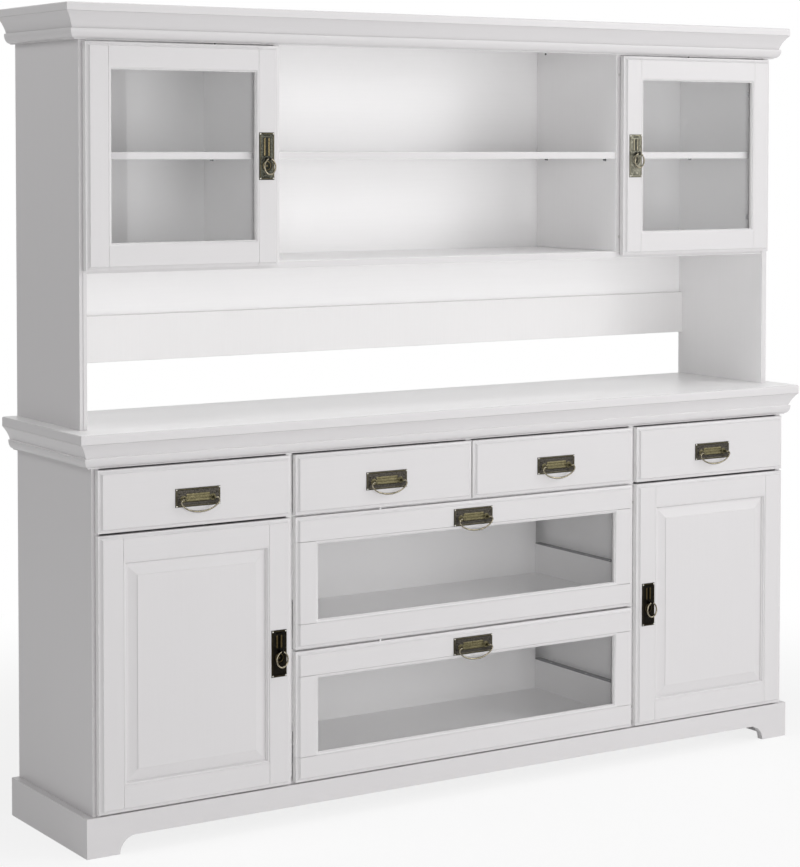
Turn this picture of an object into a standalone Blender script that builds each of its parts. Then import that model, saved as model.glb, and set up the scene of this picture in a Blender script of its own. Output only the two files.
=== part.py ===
# A buffet cabinet: a lower cabinet with two panelled doors, four small drawers and two glazed
# drawers, under a hutch with two glazed doors, open shelves and a cornice.
# Metres, +Z up, the front faces -Y. The origin is on the floor, in the middle of the whole cabinet.
import math

import bmesh
import bpy
from mathutils import Matrix, Vector

# Boards and clearances
carcass_width = 2.110
carcass_depth = 0.433
board = 0.018
back_board = 0.003
fit = 0.0003

# Fronts of the lower cabinet
front_thickness = 0.021
front_stand_off = 0.003
edge_round = 0.006
front_gap = 0.0053
side_reveal = 0.0085
bay_width = 0.500
bay_overlay = 0.0035
centre_overlay = 0.0008
bottom_reveal = 0.006
door_height = 0.657
lower_glass_height = 0.3245
drawer_front_height = 0.1485
top_reveal = 0.0032

# Frames of the doors and glazed drawers
door_stile = 0.064
door_slope = 0.006
panel_lip = 0.003
panel_thickness = 0.009
panel_bevel = 0.028
panel_rise = 0.0065
hutch_stile = 0.065
glass_stile = 0.062
glass_rail = 0.070
sight_round = 0.002
glass_lip = 0.012
glass_thickness = 0.004
rebate = 0.008

# Plinth
plinth_height = 0.095
plinth_thickness = 0.020
plinth_projection = 0.020
plinth_front_projection = 0.0114
foot_width = 0.085
cutout_height = 0.041

# Worktop board, and the moulding under its edge
lip_round = 0.004
step_fall = 0.0005
worktop_thickness = 0.023
worktop_side_extra = 0.008
worktop_moulding = {
    "foot": 0.004,
    "foot_height": 0.003,
    "bead": 0.012,
    "bead_height": 0.020,
    "fillet": 0.003,
    "step": 0.004,
    "cove": 0.020,
    "cove_height": 0.034,
    "cove_sag": 0.0025,
}

# Hutch
niche_height = 0.3677
hutch_depth = 0.3717
hutch_stand_off = 0.0018
hutch_side_reveal = 0.0095
hutch_bay_overlay = 0.0055
hutch_door_rise = 0.0075
hutch_door_height = 0.538
hutch_top_reveal = 0.0038
hutch_shelf_rise = 0.2507
shelf_set_back = 0.0017
ceiling_rise = 0.023
back_rail_rise = 0.1228
back_rail_height = 0.1177
back_rail_thickness = 0.015

# Cornice board, and the moulding under its edge
cornice_thickness = 0.020
cornice_side_extra = 0.0064
cornice_moulding = {
    "foot": 0.0076,
    "foot_height": 0.002,
    "bead": 0.015,
    "bead_height": 0.0205,
    "fillet": 0.004,
    "step": 0.005,
    "cove": 0.022,
    "cove_height": 0.0385,
    "cove_sag": 0.003,
}

# Drawer boxes and their runners
box_side = 0.012
box_back_clearance = 0.023
small_box_depth = 0.380
small_box_lift = 0.010
small_box_height = 0.110
small_box_floor = 0.006
small_bar_rise = 0.030
glass_floor_rise = 0.029
glass_box_floor = 0.008
glass_side_height = 0.082
glass_back_height = 0.200
runner_space = 0.0125
runner_play = 0.0015
runner_bar = 0.012
runner_rail = 0.008
runner_set_back = 0.004
runner_length = 0.360

# Shelves and hinges
lower_shelf_rise = 0.310
hinge_inset = 0.095
hinge_arm_width = 0.012
hinge_arm_height = 0.020
hinge_arm_length = 0.060

# Handles
plate_thickness = 0.0025
drawer_plate_width = 0.120
drawer_plate_height = 0.046
drawer_plate_drop = 0.0056
glass_plate_drop = 0.040
bail_post_spacing = 0.078
bail_post_width = 0.006
bail_post_height = 0.007
bail_reach = 0.012
bail_pivot_drop = 0.003
bail_half_span = 0.0503
bail_depth = 0.0306
bail_wire = 0.0017
door_plate_width = 0.043
door_plate_height = 0.116
door_plate_inset = 0.0365
ring_radius = 0.019
ring_wire = 0.002
ring_reach = 0.015
ring_pivot_rise = 0.0065
eye_width = 0.006
eye_clearance = 0.0006
eye_wall = 0.0019

# Places along the width, measured from the middle
half = carcass_width / 2
side_inner = half - board
partition_outer = side_inner - bay_width
partition_inner = partition_outer - board

# Places along the depth; the lower fronts' faces lie at y = 0 until the last shift
carcass_front = front_thickness + front_stand_off
back = carcass_front + carcass_depth
back_board_front = back - back_board
hutch_front = back - hutch_depth
hutch_face = hutch_front - hutch_stand_off - front_thickness
plinth_front = carcass_front - plinth_front_projection
plinth_back = plinth_front + plinth_thickness
plate_depth = fit + plate_thickness
eye_outer = ring_wire + eye_clearance + eye_wall
middle_y = (back - plate_depth - ring_reach - eye_outer) / 2

# Places along the height
bottom_top = plinth_height + fit + board
fronts_bottom = plinth_height + bottom_reveal
door_top = fronts_bottom + door_height
drawers_bottom = door_top + front_gap
drawers_top = drawers_bottom + drawer_front_height
divider_bottom = door_top + front_gap / 2 - board / 2
divider_top = divider_bottom + board


def moulding_height(sizes):
    return sizes["foot_height"] + sizes["bead_height"] + sizes["fillet"] + sizes["cove_height"]


worktop_bottom = drawers_top + top_reveal + moulding_height(worktop_moulding)
worktop_top = worktop_bottom + worktop_thickness
hutch_bottom = worktop_top + niche_height
hutch_floor = hutch_bottom + board
hutch_door_bottom = hutch_bottom + hutch_door_rise
hutch_door_top = hutch_door_bottom + hutch_door_height
cornice_foot = hutch_door_top + hutch_top_reveal
ceiling = cornice_foot + ceiling_rise
cornice_bottom = cornice_foot + moulding_height(cornice_moulding)
cornice_top = cornice_bottom + cornice_thickness
back_rail_bottom = worktop_top + back_rail_rise


def clear_scene():
    for item in list(bpy.data.objects):
        bpy.data.objects.remove(item, do_unlink=True)


def material(name, colour, roughness, metallic=0.0, alpha=1.0):
    made = bpy.data.materials.new(name)
    made.use_nodes = True
    shader = made.node_tree.nodes["Principled BSDF"]
    shader.inputs["Base Color"].default_value = (*colour, 1.0)
    shader.inputs["Roughness"].default_value = roughness
    shader.inputs["Metallic"].default_value = metallic
    shader.inputs["Alpha"].default_value = alpha
    return made


def new_object(name, bm):
    bmesh.ops.recalc_face_normals(bm, faces=bm.faces)
    mesh = bpy.data.meshes.new(name)
    bm.to_mesh(mesh)
    bm.free()
    made = bpy.data.objects.new(name, mesh)
    bpy.context.scene.collection.objects.link(made)
    return made


# A closed skin over loops of points; its ends are capped, unless the last loop joins the first
def skin(name, loops, ring=False):
    bm = bmesh.new()
    rows = [[bm.verts.new(point) for point in loop] for loop in loops]
    count = len(rows[0])
    pairs = list(zip(rows, rows[1:]))
    if ring:
        pairs.append((rows[-1], rows[0]))
    for lower, upper in pairs:
        for i in range(count):
            j = (i + 1) % count
            bm.faces.new((lower[i], lower[j], upper[j], upper[i]))
    if not ring:
        bm.faces.new(rows[0])
        bm.faces.new(rows[-1])
    return new_object(name, bm)


def block(name, low, high):
    bm = bmesh.new()
    bmesh.ops.create_cube(bm, size=1.0)
    for vert in bm.verts:
        for axis in range(3):
            vert.co[axis] = high[axis] if vert.co[axis] > 0 else low[axis]
    return new_object(name, bm)


# A flat outline in X and Z, given as points, made solid from one depth to another
def slab(name, outline, front_y, back_y):
    return skin(name, [[(x, y, z) for x, z in outline] for y in (front_y, back_y)])


def combine(target, operation, others):
    for other in others:
        modifier = target.modifiers.new(operation, "BOOLEAN")
        modifier.operation = operation
        modifier.solver = "EXACT"
        modifier.object = other
        evaluated = target.evaluated_get(bpy.context.evaluated_depsgraph_get())
        mesh = bpy.data.meshes.new_from_object(evaluated)
        target.modifiers.clear()
        target.data = mesh
        bpy.data.objects.remove(other, do_unlink=True)
    bm = bmesh.new()
    bm.from_mesh(target.data)
    bmesh.ops.dissolve_limit(bm, angle_limit=0.001, verts=bm.verts, edges=bm.edges)
    bm.to_mesh(target.data)
    bm.free()
    return target


def union(target, *others):
    return combine(target, "UNION", others)


def cut(target, *others):
    return combine(target, "DIFFERENCE", others)


# Inset and depth of the points round a front edge, from the side to the face
def round_edge(radius, steps=3):
    angles = [math.pi / 2 * i / steps for i in range(steps + 1)]
    return [(radius * (1 - math.cos(a)), radius * (1 - math.sin(a))) for a in angles]


def rectangle(x0, x1, z0, z1, inset, y):
    return [
        (x0 + inset, y, z0 + inset),
        (x1 - inset, y, z0 + inset),
        (x1 - inset, y, z1 - inset),
        (x0 + inset, y, z1 - inset),
    ]


def front_board(name, x0, x1, z0, z1, face):
    profile = [(0, front_thickness)] + round_edge(edge_round)
    return skin(name, [rectangle(x0, x1, z0, z1, inset, face + y) for inset, y in profile])


# A mitred frame: stiles and rails of their own widths, and a rebate behind for what fills it
def frame(name, x0, x1, z0, z1, face, stile, rail, sight, lip):
    outer = [(0, front_thickness)] + round_edge(edge_round)
    loops = [rectangle(x0, x1, z0, z1, inset, face + y) for inset, y in outer]
    inner = [(-inset, y) for inset, y in sight] + [(0, lip), (-rebate, lip), (-rebate, front_thickness)]
    hole = (x0 + stile, x1 - stile, z0 + rail, z1 - rail)
    loops += [rectangle(*hole, inset, face + y) for inset, y in inner]
    return skin(name, loops, ring=True)


# Points of a moulding from its foot up, as projection and height
def moulding_points(sizes, steps=4):
    foot = sizes["foot"]
    bead_low = sizes["foot_height"]
    bead_out = foot + sizes["bead"]
    bead_top = bead_low + sizes["bead_height"]
    cove_in = bead_out - sizes["step"]
    cove_low = bead_top + sizes["fillet"]
    points = [(foot, 0)]
    for i in range(steps + 1):
        turn = math.pi / 2 * i / steps
        out = foot + sizes["bead"] * math.sin(turn)
        points.append((out, bead_low + sizes["bead_height"] * (1 - math.cos(turn))))
    points.append((bead_out, cove_low - step_fall))
    for i in range(steps + 1):
        t = i / steps
        sag = sizes["cove_sag"] * 4 * t * (1 - t)
        points.append((cove_in + sizes["cove"] * t - sag, cove_low + sizes["cove_height"] * t))
    return points


# A board with a moulding under its front and side edges, as a solid block
def moulded_block(name, sizes, foot_z, thickness, front_y, side_extra):
    points = moulding_points(sizes)
    lip, height = points[-1]
    for inset, drop in round_edge(lip_round):
        points.append((lip - inset, height + thickness - drop))
    loops = []
    for out, z in points:
        x = half + side_extra + out
        y = front_y - out
        corners = [(-x, back), (-x, y), (x, y), (x, back)]
        loops.append([(a, b, foot_z + z) for a, b in corners])
    return skin(name, loops)


# One runner rail on a bay's wall: the wall stands at x, and the bay lies on the side given
def runner_rail_block(x, side, top):
    near, far = sorted((x - side * board / 2, x + side * (runner_space - runner_play)))
    front = carcass_front + runner_set_back
    return block("rail", (near, front, top - runner_rail), (far, front + runner_length, top))


def hinge_arms(side, x, face, door_bottom, door_top):
    arms = []
    near, far = sorted((x + side * board / 2, x - side * hinge_arm_width))
    for z in (door_bottom + hinge_inset, door_top - hinge_inset):
        low = z - hinge_arm_height / 2
        front = face + front_thickness + fit
        size = ((near, front, low), (far, front + hinge_arm_length, low + hinge_arm_height))
        arms.append(block("arm", *size))
    return arms


small_bar_bottom = drawers_bottom + small_box_lift + small_bar_rise
small_rail_top = small_bar_bottom - fit
glass_fronts = {
    "lower_glass_drawer": (fronts_bottom, fronts_bottom + lower_glass_height),
    "upper_glass_drawer": (fronts_bottom + lower_glass_height + front_gap, door_top),
}


def glass_floor(front_bottom):
    return front_bottom + glass_floor_rise


def glass_rail_top(front_bottom):
    return glass_floor(front_bottom) + glass_side_height - runner_bar - fit


def lower_side(name, side):
    x = side * half
    outline = [
        (carcass_front, plinth_height + fit),
        (plinth_back + fit, plinth_height + fit),
        (plinth_back + fit, 0),
        (back, 0),
        (back, worktop_bottom - fit),
        (carcass_front, worktop_bottom - fit),
    ]
    made = skin(name, [[(px, y, z) for y, z in outline] for px in (x, x - side * board)])
    rail = runner_rail_block(side * side_inner, -side, small_rail_top)
    return union(made, rail, *hinge_arms(side, side * side_inner, 0, fronts_bottom, door_top))


def lower_partition(name, side):
    low, high = sorted((side * partition_inner, side * partition_outer))
    bottom = bottom_top + fit
    made = block(name, (low, carcass_front, bottom), (high, back_board_front - fit, worktop_bottom - fit))
    rails = [runner_rail_block(side * partition_outer, side, small_rail_top)]
    tops = [small_rail_top] + [glass_rail_top(z0) for z0, z1 in glass_fronts.values()]
    rails += [runner_rail_block(side * partition_inner, -side, top) for top in tops]
    return union(made, *rails)


def drawer_divider(name):
    x = partition_inner - fit
    stop = back_board_front - fit
    made = block(name, (-x, carcass_front, divider_bottom), (x, stop, divider_top))
    low = (-board / 2, carcass_front, divider_top - board / 2)
    upright = block("upright", low, (board / 2, stop, worktop_bottom - fit))
    rails = [runner_rail_block(side * board / 2, side, small_rail_top) for side in (-1, 1)]
    return union(made, upright, *rails)


# A front board with a low arched cut-out between its feet, and a side board at each end
def plinth(name):
    x = half + plinth_projection
    turns = [math.pi / 2 * i / 6 for i in range(7)]
    radius = cutout_height
    right = [(x - foot_width - radius * (1 - math.cos(a)), radius * math.sin(a)) for a in turns]
    left = [(-px, z) for px, z in right]
    outline = [(-x, 0)] + left + right[::-1] + [(x, 0), (x, plinth_height), (-x, plinth_height)]
    made = slab(name, outline, plinth_front, plinth_back)
    sides = []
    for side in (-1, 1):
        low, high = sorted((side * (half + fit), side * x))
        corner = plinth_front + plinth_thickness / 2
        sides.append(block("board", (low, corner, 0), (high, back, plinth_height)))
    return union(made, *sides)


def worktop(name):
    foot_z = drawers_top + top_reveal
    sizes = (foot_z, worktop_thickness, carcass_front, worktop_side_extra)
    made = moulded_block(name, worktop_moulding, *sizes)
    x = half + fit
    room = block("room", (-x, carcass_front - fit, foot_z - board), (x, back + board, worktop_bottom))
    return cut(made, room)


def hutch_side(name, side):
    low, high = sorted((side * half, side * side_inner))
    made = block(name, (low, hutch_front, worktop_top + fit), (high, back, cornice_bottom - fit))
    arms = hinge_arms(side, side * side_inner, hutch_face, hutch_door_bottom, hutch_door_top)
    return union(made, *arms)


# The cornice board and its moulding, with the hutch's ceiling board behind the moulding
def hutch_top(name):
    sizes = (cornice_foot, cornice_thickness, hutch_front, cornice_side_extra)
    made = moulded_block(name, cornice_moulding, *sizes)
    x = half + fit
    front = hutch_front - fit
    low = cornice_foot - board
    cut(made, block("room", (-x, front, low), (x, back + board, cornice_bottom)))
    inner = side_inner - fit
    sunk = front - cornice_moulding["foot"] / 2
    ceiling_top = ceiling + board
    rib_top = cornice_bottom + cornice_thickness / 2
    ceiling_board = block("ceiling", (-inner, sunk, ceiling), (inner, back_board_front - fit, ceiling_top))
    rib = block("rib", (-inner, sunk, ceiling_top - board / 2), (inner, hutch_front + board, rib_top))
    return union(made, ceiling_board, rib)


def carcass():
    inner = side_inner - fit
    stop = back_board_front - fit
    shelf_low = hutch_floor + hutch_shelf_rise
    pieces = []
    for word, side in (("left", -1), ("right", 1)):
        pieces.append(lower_side(f"lower_{word}_side", side))
        pieces.append(lower_partition(f"lower_{word}_partition", side))
        pieces.append(hutch_side(f"hutch_{word}_side", side))
        x0, x1 = sorted((side * partition_outer, side * partition_inner))
        size = ((x0, hutch_front, hutch_floor + fit), (x1, stop, ceiling - fit))
        pieces.append(block(f"hutch_{word}_partition", *size))
        x0, x1 = sorted((side * inner, side * (partition_outer + fit)))
        low = bottom_top + lower_shelf_rise
        size = ((x0, carcass_front + shelf_set_back, low), (x1, stop, low + board))
        pieces.append(block(f"lower_{word}_shelf", *size))
        size = ((x0, hutch_front + shelf_set_back, shelf_low), (x1, stop, shelf_low + board))
        pieces.append(block(f"hutch_{word}_shelf", *size))
    x = partition_inner - fit
    rail_front = stop - back_rail_thickness
    under = plinth_height + fit
    panel_top = cornice_bottom - fit
    rail_top = back_rail_bottom + back_rail_height
    boards = {
        "hutch_middle_shelf": ((-x, hutch_front + shelf_set_back, shelf_low), (x, stop, shelf_low + board)),
        "lower_bottom": ((-inner, carcass_front, under), (inner, stop, bottom_top)),
        "lower_back_panel": ((-inner, back_board_front, under), (inner, back, worktop_bottom - fit)),
        "hutch_bottom": ((-inner, hutch_front, hutch_bottom), (inner, stop, hutch_floor)),
        "hutch_back_panel": ((-inner, back_board_front, back_rail_bottom), (inner, back, panel_top)),
        "hutch_back_rail": ((-inner, rail_front, back_rail_bottom), (inner, stop, rail_top)),
    }
    pieces += [block(name, *size) for name, size in boards.items()]
    pieces.append(drawer_divider("drawer_divider"))
    pieces.append(plinth("plinth"))
    pieces.append(worktop("worktop"))
    pieces.append(hutch_top("hutch_top"))
    for piece in pieces:
        piece.data.materials.append(paint)


# A smooth tube along a list of points, closed with flat ends or run round to its start
def tube(name, points, radius, sides=8, ring=False):
    count = len(points)
    depth_way = Vector((0, 1, 0))
    turns = [2 * math.pi * k / sides for k in range(sides)]
    loops = []
    for i, point in enumerate(points):
        ahead = points[(i + 1) % count] if ring or i + 1 < count else point
        behind = points[i - 1] if ring or i > 0 else point
        across = (ahead - behind).normalized().cross(depth_way).normalized()
        loops.append([point + (across * math.cos(a) + depth_way * math.sin(a)) * radius for a in turns])
    made = skin(name, loops, ring)
    made.data.shade_smooth()
    made.data.set_sharp_from_angle(angle=math.radians(40))
    return made


# A back plate in front of a face, with a bevelled rim
def back_plate(name, centre, width, height, face):
    x0, x1 = centre[0] - width / 2, centre[0] + width / 2
    z0, z1 = centre[1] - height / 2, centre[1] + height / 2
    rim = plate_thickness / 2
    rear = face - fit
    profile = [(0, rear), (0, rear - rim), (rim, rear - plate_thickness)]
    return skin(name, [rectangle(x0, x1, z0, z1, inset, y) for inset, y in profile])


# Points along a smooth line through a few points
def smooth(points, steps=3):
    made = []
    padded = [2 * points[0] - points[1]] + points + [2 * points[-1] - points[-2]]
    for a, b, c, d in zip(padded, padded[1:], padded[2:], padded[3:]):
        for i in range(steps):
            t = i / steps
            curve = 2 * b + (c - a) * t + (2 * a - 5 * b + 4 * c - d) * t**2 + (3 * b - a - 3 * c + d) * t**3
            made.append(curve / 2)
    return made + [points[-1]]


# A bail's middle line: out of the post's outer face, round a bend, and down to a shallow bow
def bail_outline():
    start = bail_post_spacing / 2 + bail_post_width / 2 + fit
    span = bail_half_span
    half_line = [
        Vector((start, 0)),
        Vector(((start + span) / 2, 0)),
        Vector((span, -0.16 * bail_depth)),
        Vector((0.98 * span, -0.35 * bail_depth)),
        Vector((0.83 * span, -0.61 * bail_depth)),
        Vector((0.60 * span, -0.82 * bail_depth)),
        Vector((0.30 * span, -0.96 * bail_depth)),
    ]
    mirrored = [Vector((-point.x, point.y)) for point in reversed(half_line)]
    return smooth(half_line + [Vector((0, -bail_depth))] + mirrored)


def move_origin(piece, pivot):
    piece.data.transform(Matrix.Translation(-pivot))
    piece.location = pivot


# A child keeps its place when it is hung from its parent
def hang(child, parent):
    child.parent = parent
    child.location = child.location - parent.location


# The plate with its two posts is fixed to a drawer front, and the bail swings between the posts
def bail_handle(stem, centre, face, drawer):
    plate = back_plate(f"{stem}_plate", centre, drawer_plate_width, drawer_plate_height, face)
    plate_face = face - plate_depth
    pivot = Vector((centre[0], plate_face - bail_reach, centre[1] - bail_pivot_drop))
    tall = bail_post_height / 2
    for side in (-1, 1):
        x = pivot.x + side * bail_post_spacing / 2
        low = (x - bail_post_width / 2, pivot.y - tall, pivot.z - tall)
        high = (x + bail_post_width / 2, plate_face + plate_thickness / 2, pivot.z + tall)
        union(plate, block("post", low, high))
    points = [pivot + Vector((x, 0, z)) for x, z in bail_outline()]
    bail = tube(f"{stem}_bail", points, bail_wire)
    for piece in (plate, bail):
        piece.data.materials.append(brass)
    move_origin(bail, pivot)
    hang(plate, drawer)
    hang(bail, drawer)


# The plate with its eye is fixed to a door, and the ring hangs through the eye
def ring_handle(stem, centre, face, pivot_rise, door_frame):
    plate = back_plate(f"{stem}_plate", centre, door_plate_width, door_plate_height, face)
    plate_face = face - plate_depth
    pivot = Vector((centre[0], plate_face - ring_reach, centre[1] + pivot_rise))
    low = (pivot.x - eye_width / 2, pivot.y - eye_outer, pivot.z - eye_outer)
    high = (pivot.x + eye_width / 2, plate_face + plate_thickness / 2, pivot.z + eye_outer)
    union(plate, block("eye", low, high))
    sides = 16
    radius = (ring_wire + eye_clearance) / math.cos(math.pi / sides)
    turns = [2 * math.pi * (k + 0.5) / sides for k in range(sides)]
    loops = []
    for x in (pivot.x - eye_width, pivot.x + eye_width):
        loops.append([(x, pivot.y + radius * math.cos(a), pivot.z + radius * math.sin(a)) for a in turns])
    cut(plate, skin("bore", loops))
    turns = [2 * math.pi * i / 32 for i in range(32)]
    hub = pivot - Vector((0, 0, ring_radius))
    points = [hub + Vector((ring_radius * math.sin(a), 0, ring_radius * math.cos(a))) for a in turns]
    ring = tube(f"{stem}_ring", points, ring_wire, ring=True)
    for piece in (plate, ring):
        piece.data.materials.append(brass)
    move_origin(ring, pivot)
    hang(plate, door_frame)
    hang(ring, door_frame)


# A door panel in its frame's rebate: a flat field, with a bevel down to its edge
def raised_panel(name, hole, face):
    seat = door_slope + panel_lip + fit
    edge = fit - rebate
    profile = [(edge, seat + panel_thickness), (edge, seat), (fit, seat), (panel_bevel, seat - panel_rise)]
    made = skin(name, [rectangle(*hole, inset, face + y) for inset, y in profile])
    made.data.materials.append(paint)
    return made


def pane(name, hole, face):
    x0, x1, z0, z1 = hole
    edge = rebate - fit
    front = face + glass_lip + fit
    made = block(name, (x0 - edge, front, z0 - edge), (x1 + edge, front + glass_thickness, z1 + edge))
    made.data.materials.append(glass)
    return made


# A door turns on the corner behind its outer edge; both sides are mirror images, but the plate on the
# hutch's left door is fixed the other way up, with its eye below the middle
def door(name, side, edges, z0, z1, face, filling):
    x0, x1 = sorted(side * edge for edge in edges)
    if filling == "glass":
        stile = hutch_stile
        made = frame(f"{name}_frame", x0, x1, z0, z1, face, stile, stile, sight_edge, glass_lip)
        filled = pane(f"{name}_glass", (x0 + stile, x1 - stile, z0 + stile, z1 - stile), face)
    else:
        stile = door_stile + door_slope
        lip = door_slope + panel_lip
        made = frame(f"{name}_frame", x0, x1, z0, z1, face, stile, stile, sloped_edge, lip)
        filled = raised_panel(f"{name}_panel", (x0 + stile, x1 - stile, z0 + stile, z1 - stile), face)
    made.data.materials.append(paint)
    hinge_edge = side * edges[1]
    move_origin(made, Vector((hinge_edge, face + front_thickness, (z0 + z1) / 2)))
    hang(filled, made)
    rise = -ring_pivot_rise if name == "hutch_left_door" else ring_pivot_rise
    ring_handle(name, (side * (edges[0] + door_plate_inset), (z0 + z1) / 2), face, rise, made)


# An open box behind a drawer front: floor, sides and back, with a bar on each side for its runner
def drawer_box(name, x, y, floor_z, floor, side_top, back_top, bar_z):
    made = block(name, (x[0], y[0], floor_z), (x[1], y[1], floor_z + floor))
    sink = floor / 2
    low = floor_z + sink
    inner = (x[0] + box_side, x[1] - box_side)
    parts = [
        block("side", (x[0], y[0], low), (inner[0], y[1], side_top)),
        block("side", (inner[1], y[0], low), (x[1], y[1], side_top)),
        block("back", (inner[0] - sink, y[1] - box_side, low), (inner[1] + sink, y[1], back_top)),
    ]
    reach = runner_space - runner_play
    start = carcass_front + runner_set_back
    for ends in ((x[0] - reach, x[0] + sink), (x[1] - sink, x[1] + reach)):
        parts.append(block("bar", (ends[0], start, bar_z), (ends[1], y[1], bar_z + runner_bar)))
    return union(made, *parts)


def small_drawer(name, bay, face_x):
    low = drawers_bottom + small_box_lift
    top = low + small_box_height
    x = (bay[0] + runner_space, bay[1] - runner_space)
    y = (front_thickness / 2, front_thickness + small_box_depth)
    made = front_board(name, *face_x, drawers_bottom, drawers_top, 0)
    union(made, drawer_box("box", x, y, low, small_box_floor, top, top, small_bar_bottom))
    made.data.materials.append(paint)
    middle = (face_x[0] + face_x[1]) / 2
    move_origin(made, Vector((middle, 0, drawers_bottom)))
    bail_handle(name, (middle, (drawers_bottom + drawers_top) / 2 - drawer_plate_drop), 0, made)


def glazed_drawer(name, z0, z1):
    edge = partition_inner + centre_overlay
    made = frame(f"{name}_frame", -edge, edge, z0, z1, 0, glass_stile, glass_rail, sight_edge, glass_lip)
    made.data.materials.append(paint)
    sight = (glass_stile - edge, edge - glass_stile, z0 + glass_rail, z1 - glass_rail)
    filled = pane(f"{name}_glass", sight, 0)
    x = partition_inner - runner_space
    y = (front_thickness + fit, back_board_front - box_back_clearance)
    floor = glass_floor(z0)
    tops = (floor + glass_side_height, floor + glass_back_height)
    low = floor - glass_box_floor
    box = drawer_box(f"{name}_box", (-x, x), y, low, glass_box_floor, *tops, glass_rail_top(z0) + fit)
    box.data.materials.append(paint)
    move_origin(made, Vector((0, 0, z0)))
    hang(filled, made)
    hang(box, made)
    bail_handle(name, (0, z1 - glass_plate_drop), 0, made)


clear_scene()
paint = material("white_paint", (0.86, 0.86, 0.87), 0.35)
brass = material("aged_brass", (0.20, 0.15, 0.09), 0.42, metallic=1.0)
glass = material("clear_glass", (0.85, 0.88, 0.87), 0.05, alpha=0.3)
sight_edge = [(sight_round, 0), (0, sight_round)]
sloped_edge = [(door_slope, 0), (0, door_slope)]
carcass()

# The outer columns, and then the middle ones between the partitions
lower_edges = (partition_outer - bay_overlay, half - side_reveal)
hutch_edges = (partition_outer - hutch_bay_overlay, half - hutch_side_reveal)
for word, side in (("left", -1), ("right", 1)):
    door(f"lower_{word}_door", side, lower_edges, fronts_bottom, door_top, 0, "panel")
    door(f"hutch_{word}_door", side, hutch_edges, hutch_door_bottom, hutch_door_top, hutch_face, "glass")
middle_edges = (front_gap / 2, partition_inner + centre_overlay)
outer_bay = (partition_outer, side_inner)
middle_bay = (board / 2, partition_inner)
small_drawer("top_drawer_1", (-outer_bay[1], -outer_bay[0]), (-lower_edges[1], -lower_edges[0]))
small_drawer("top_drawer_2", (-middle_bay[1], -middle_bay[0]), (-middle_edges[1], -middle_edges[0]))
small_drawer("top_drawer_3", middle_bay, middle_edges)
small_drawer("top_drawer_4", outer_bay, lower_edges)
for name, (z0, z1) in glass_fronts.items():
    glazed_drawer(name, z0, z1)

# The whole cabinet moves forward, so that its depth lies evenly about the origin
for piece in bpy.data.objects:
    if piece.parent is None:
        piece.location.y -= middle_y
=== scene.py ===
import bmesh
import bpy
import math
from mathutils import Matrix, Vector


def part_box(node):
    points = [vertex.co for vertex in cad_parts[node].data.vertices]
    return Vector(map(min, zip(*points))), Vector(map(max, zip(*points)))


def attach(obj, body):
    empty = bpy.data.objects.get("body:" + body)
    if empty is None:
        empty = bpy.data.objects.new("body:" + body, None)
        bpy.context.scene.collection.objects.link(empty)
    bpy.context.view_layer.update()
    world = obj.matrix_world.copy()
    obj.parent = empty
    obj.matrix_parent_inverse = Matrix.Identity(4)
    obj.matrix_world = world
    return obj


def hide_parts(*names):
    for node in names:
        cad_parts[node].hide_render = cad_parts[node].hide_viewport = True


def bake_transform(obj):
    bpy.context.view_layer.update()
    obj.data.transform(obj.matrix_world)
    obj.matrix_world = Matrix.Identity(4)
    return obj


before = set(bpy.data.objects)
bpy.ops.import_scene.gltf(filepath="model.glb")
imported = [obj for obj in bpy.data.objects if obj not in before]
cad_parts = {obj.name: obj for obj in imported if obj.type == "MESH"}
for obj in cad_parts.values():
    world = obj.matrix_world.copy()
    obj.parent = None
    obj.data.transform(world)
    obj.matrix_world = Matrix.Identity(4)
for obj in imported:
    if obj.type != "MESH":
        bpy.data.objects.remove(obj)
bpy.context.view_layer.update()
print("frame loaded:", len(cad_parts), "nodes")

cabinet, metal = "cabinet", "aged_brass"   # the standing body, and the slot of all metal
hairline = 0.00015                         # gap left between two boards that meet
touch = 0.00005                            # gap under what lies on a face
hair = 0.0001                              # how far small parts keep off a face, or are let into it


# Shader helpers

# Wraps a socket, so that shader maths can be written as sums
class Wire:
    def __init__(self, tree, socket=None):
        self.tree = tree
        self.socket = socket

    # Any node: its type, its settings, then the values or links of its sockets
    def make(self, kind, settings=None, values=None, out=0):
        made = self.tree.nodes.new(kind)
        for key, value in (settings or {}).items():
            setattr(made, key, value)
        for key, value in (values or {}).items():
            if isinstance(value, Wire):
                self.tree.links.new(value.socket, made.inputs[key])
            else:
                made.inputs[key].default_value = value
        return Wire(self.tree, made.outputs[out])

    def sum(self, operation, *terms):
        return self.make("ShaderNodeMath", {"operation": operation}, dict(enumerate(terms)))

    __add__ = __radd__ = lambda self, other: self.sum("ADD", self, other)
    __mul__ = __rmul__ = lambda self, other: self.sum("MULTIPLY", self, other)
    __sub__ = lambda self, other: self.sum("SUBTRACT", self, other)
    __rsub__ = lambda self, other: self.sum("SUBTRACT", other, self)

    # 0 below low, 1 above high, smooth between
    def step(self, low, high):
        return self.make("ShaderNodeMapRange", {"interpolation_type": "SMOOTHSTEP"},
                         {"Value": self, "From Min": low, "From Max": high})

    def stretch(self, scale):
        return self.make("ShaderNodeVectorMath", {"operation": "MULTIPLY"}, {0: self, 1: scale})

    def noise(self, scale, detail=3.0, rough=0.5):
        values = {"Vector": self, "Scale": scale, "Detail": detail, "Roughness": rough}
        return self.make("ShaderNodeTexNoise", None, values)

    def bump(self, strength, distance):
        return self.make("ShaderNodeBump", None, {"Strength": strength, "Distance": distance, "Height": self})

    # A colour between two others; self is the share of the second
    def blend(self, first, second):
        first, second = (end if isinstance(end, Wire) else (*end, 1.0) for end in (first, second))
        return self.make("ShaderNodeMix", {"data_type": "RGBA"}, {0: self, 6: first, 7: second}, 2)


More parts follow.
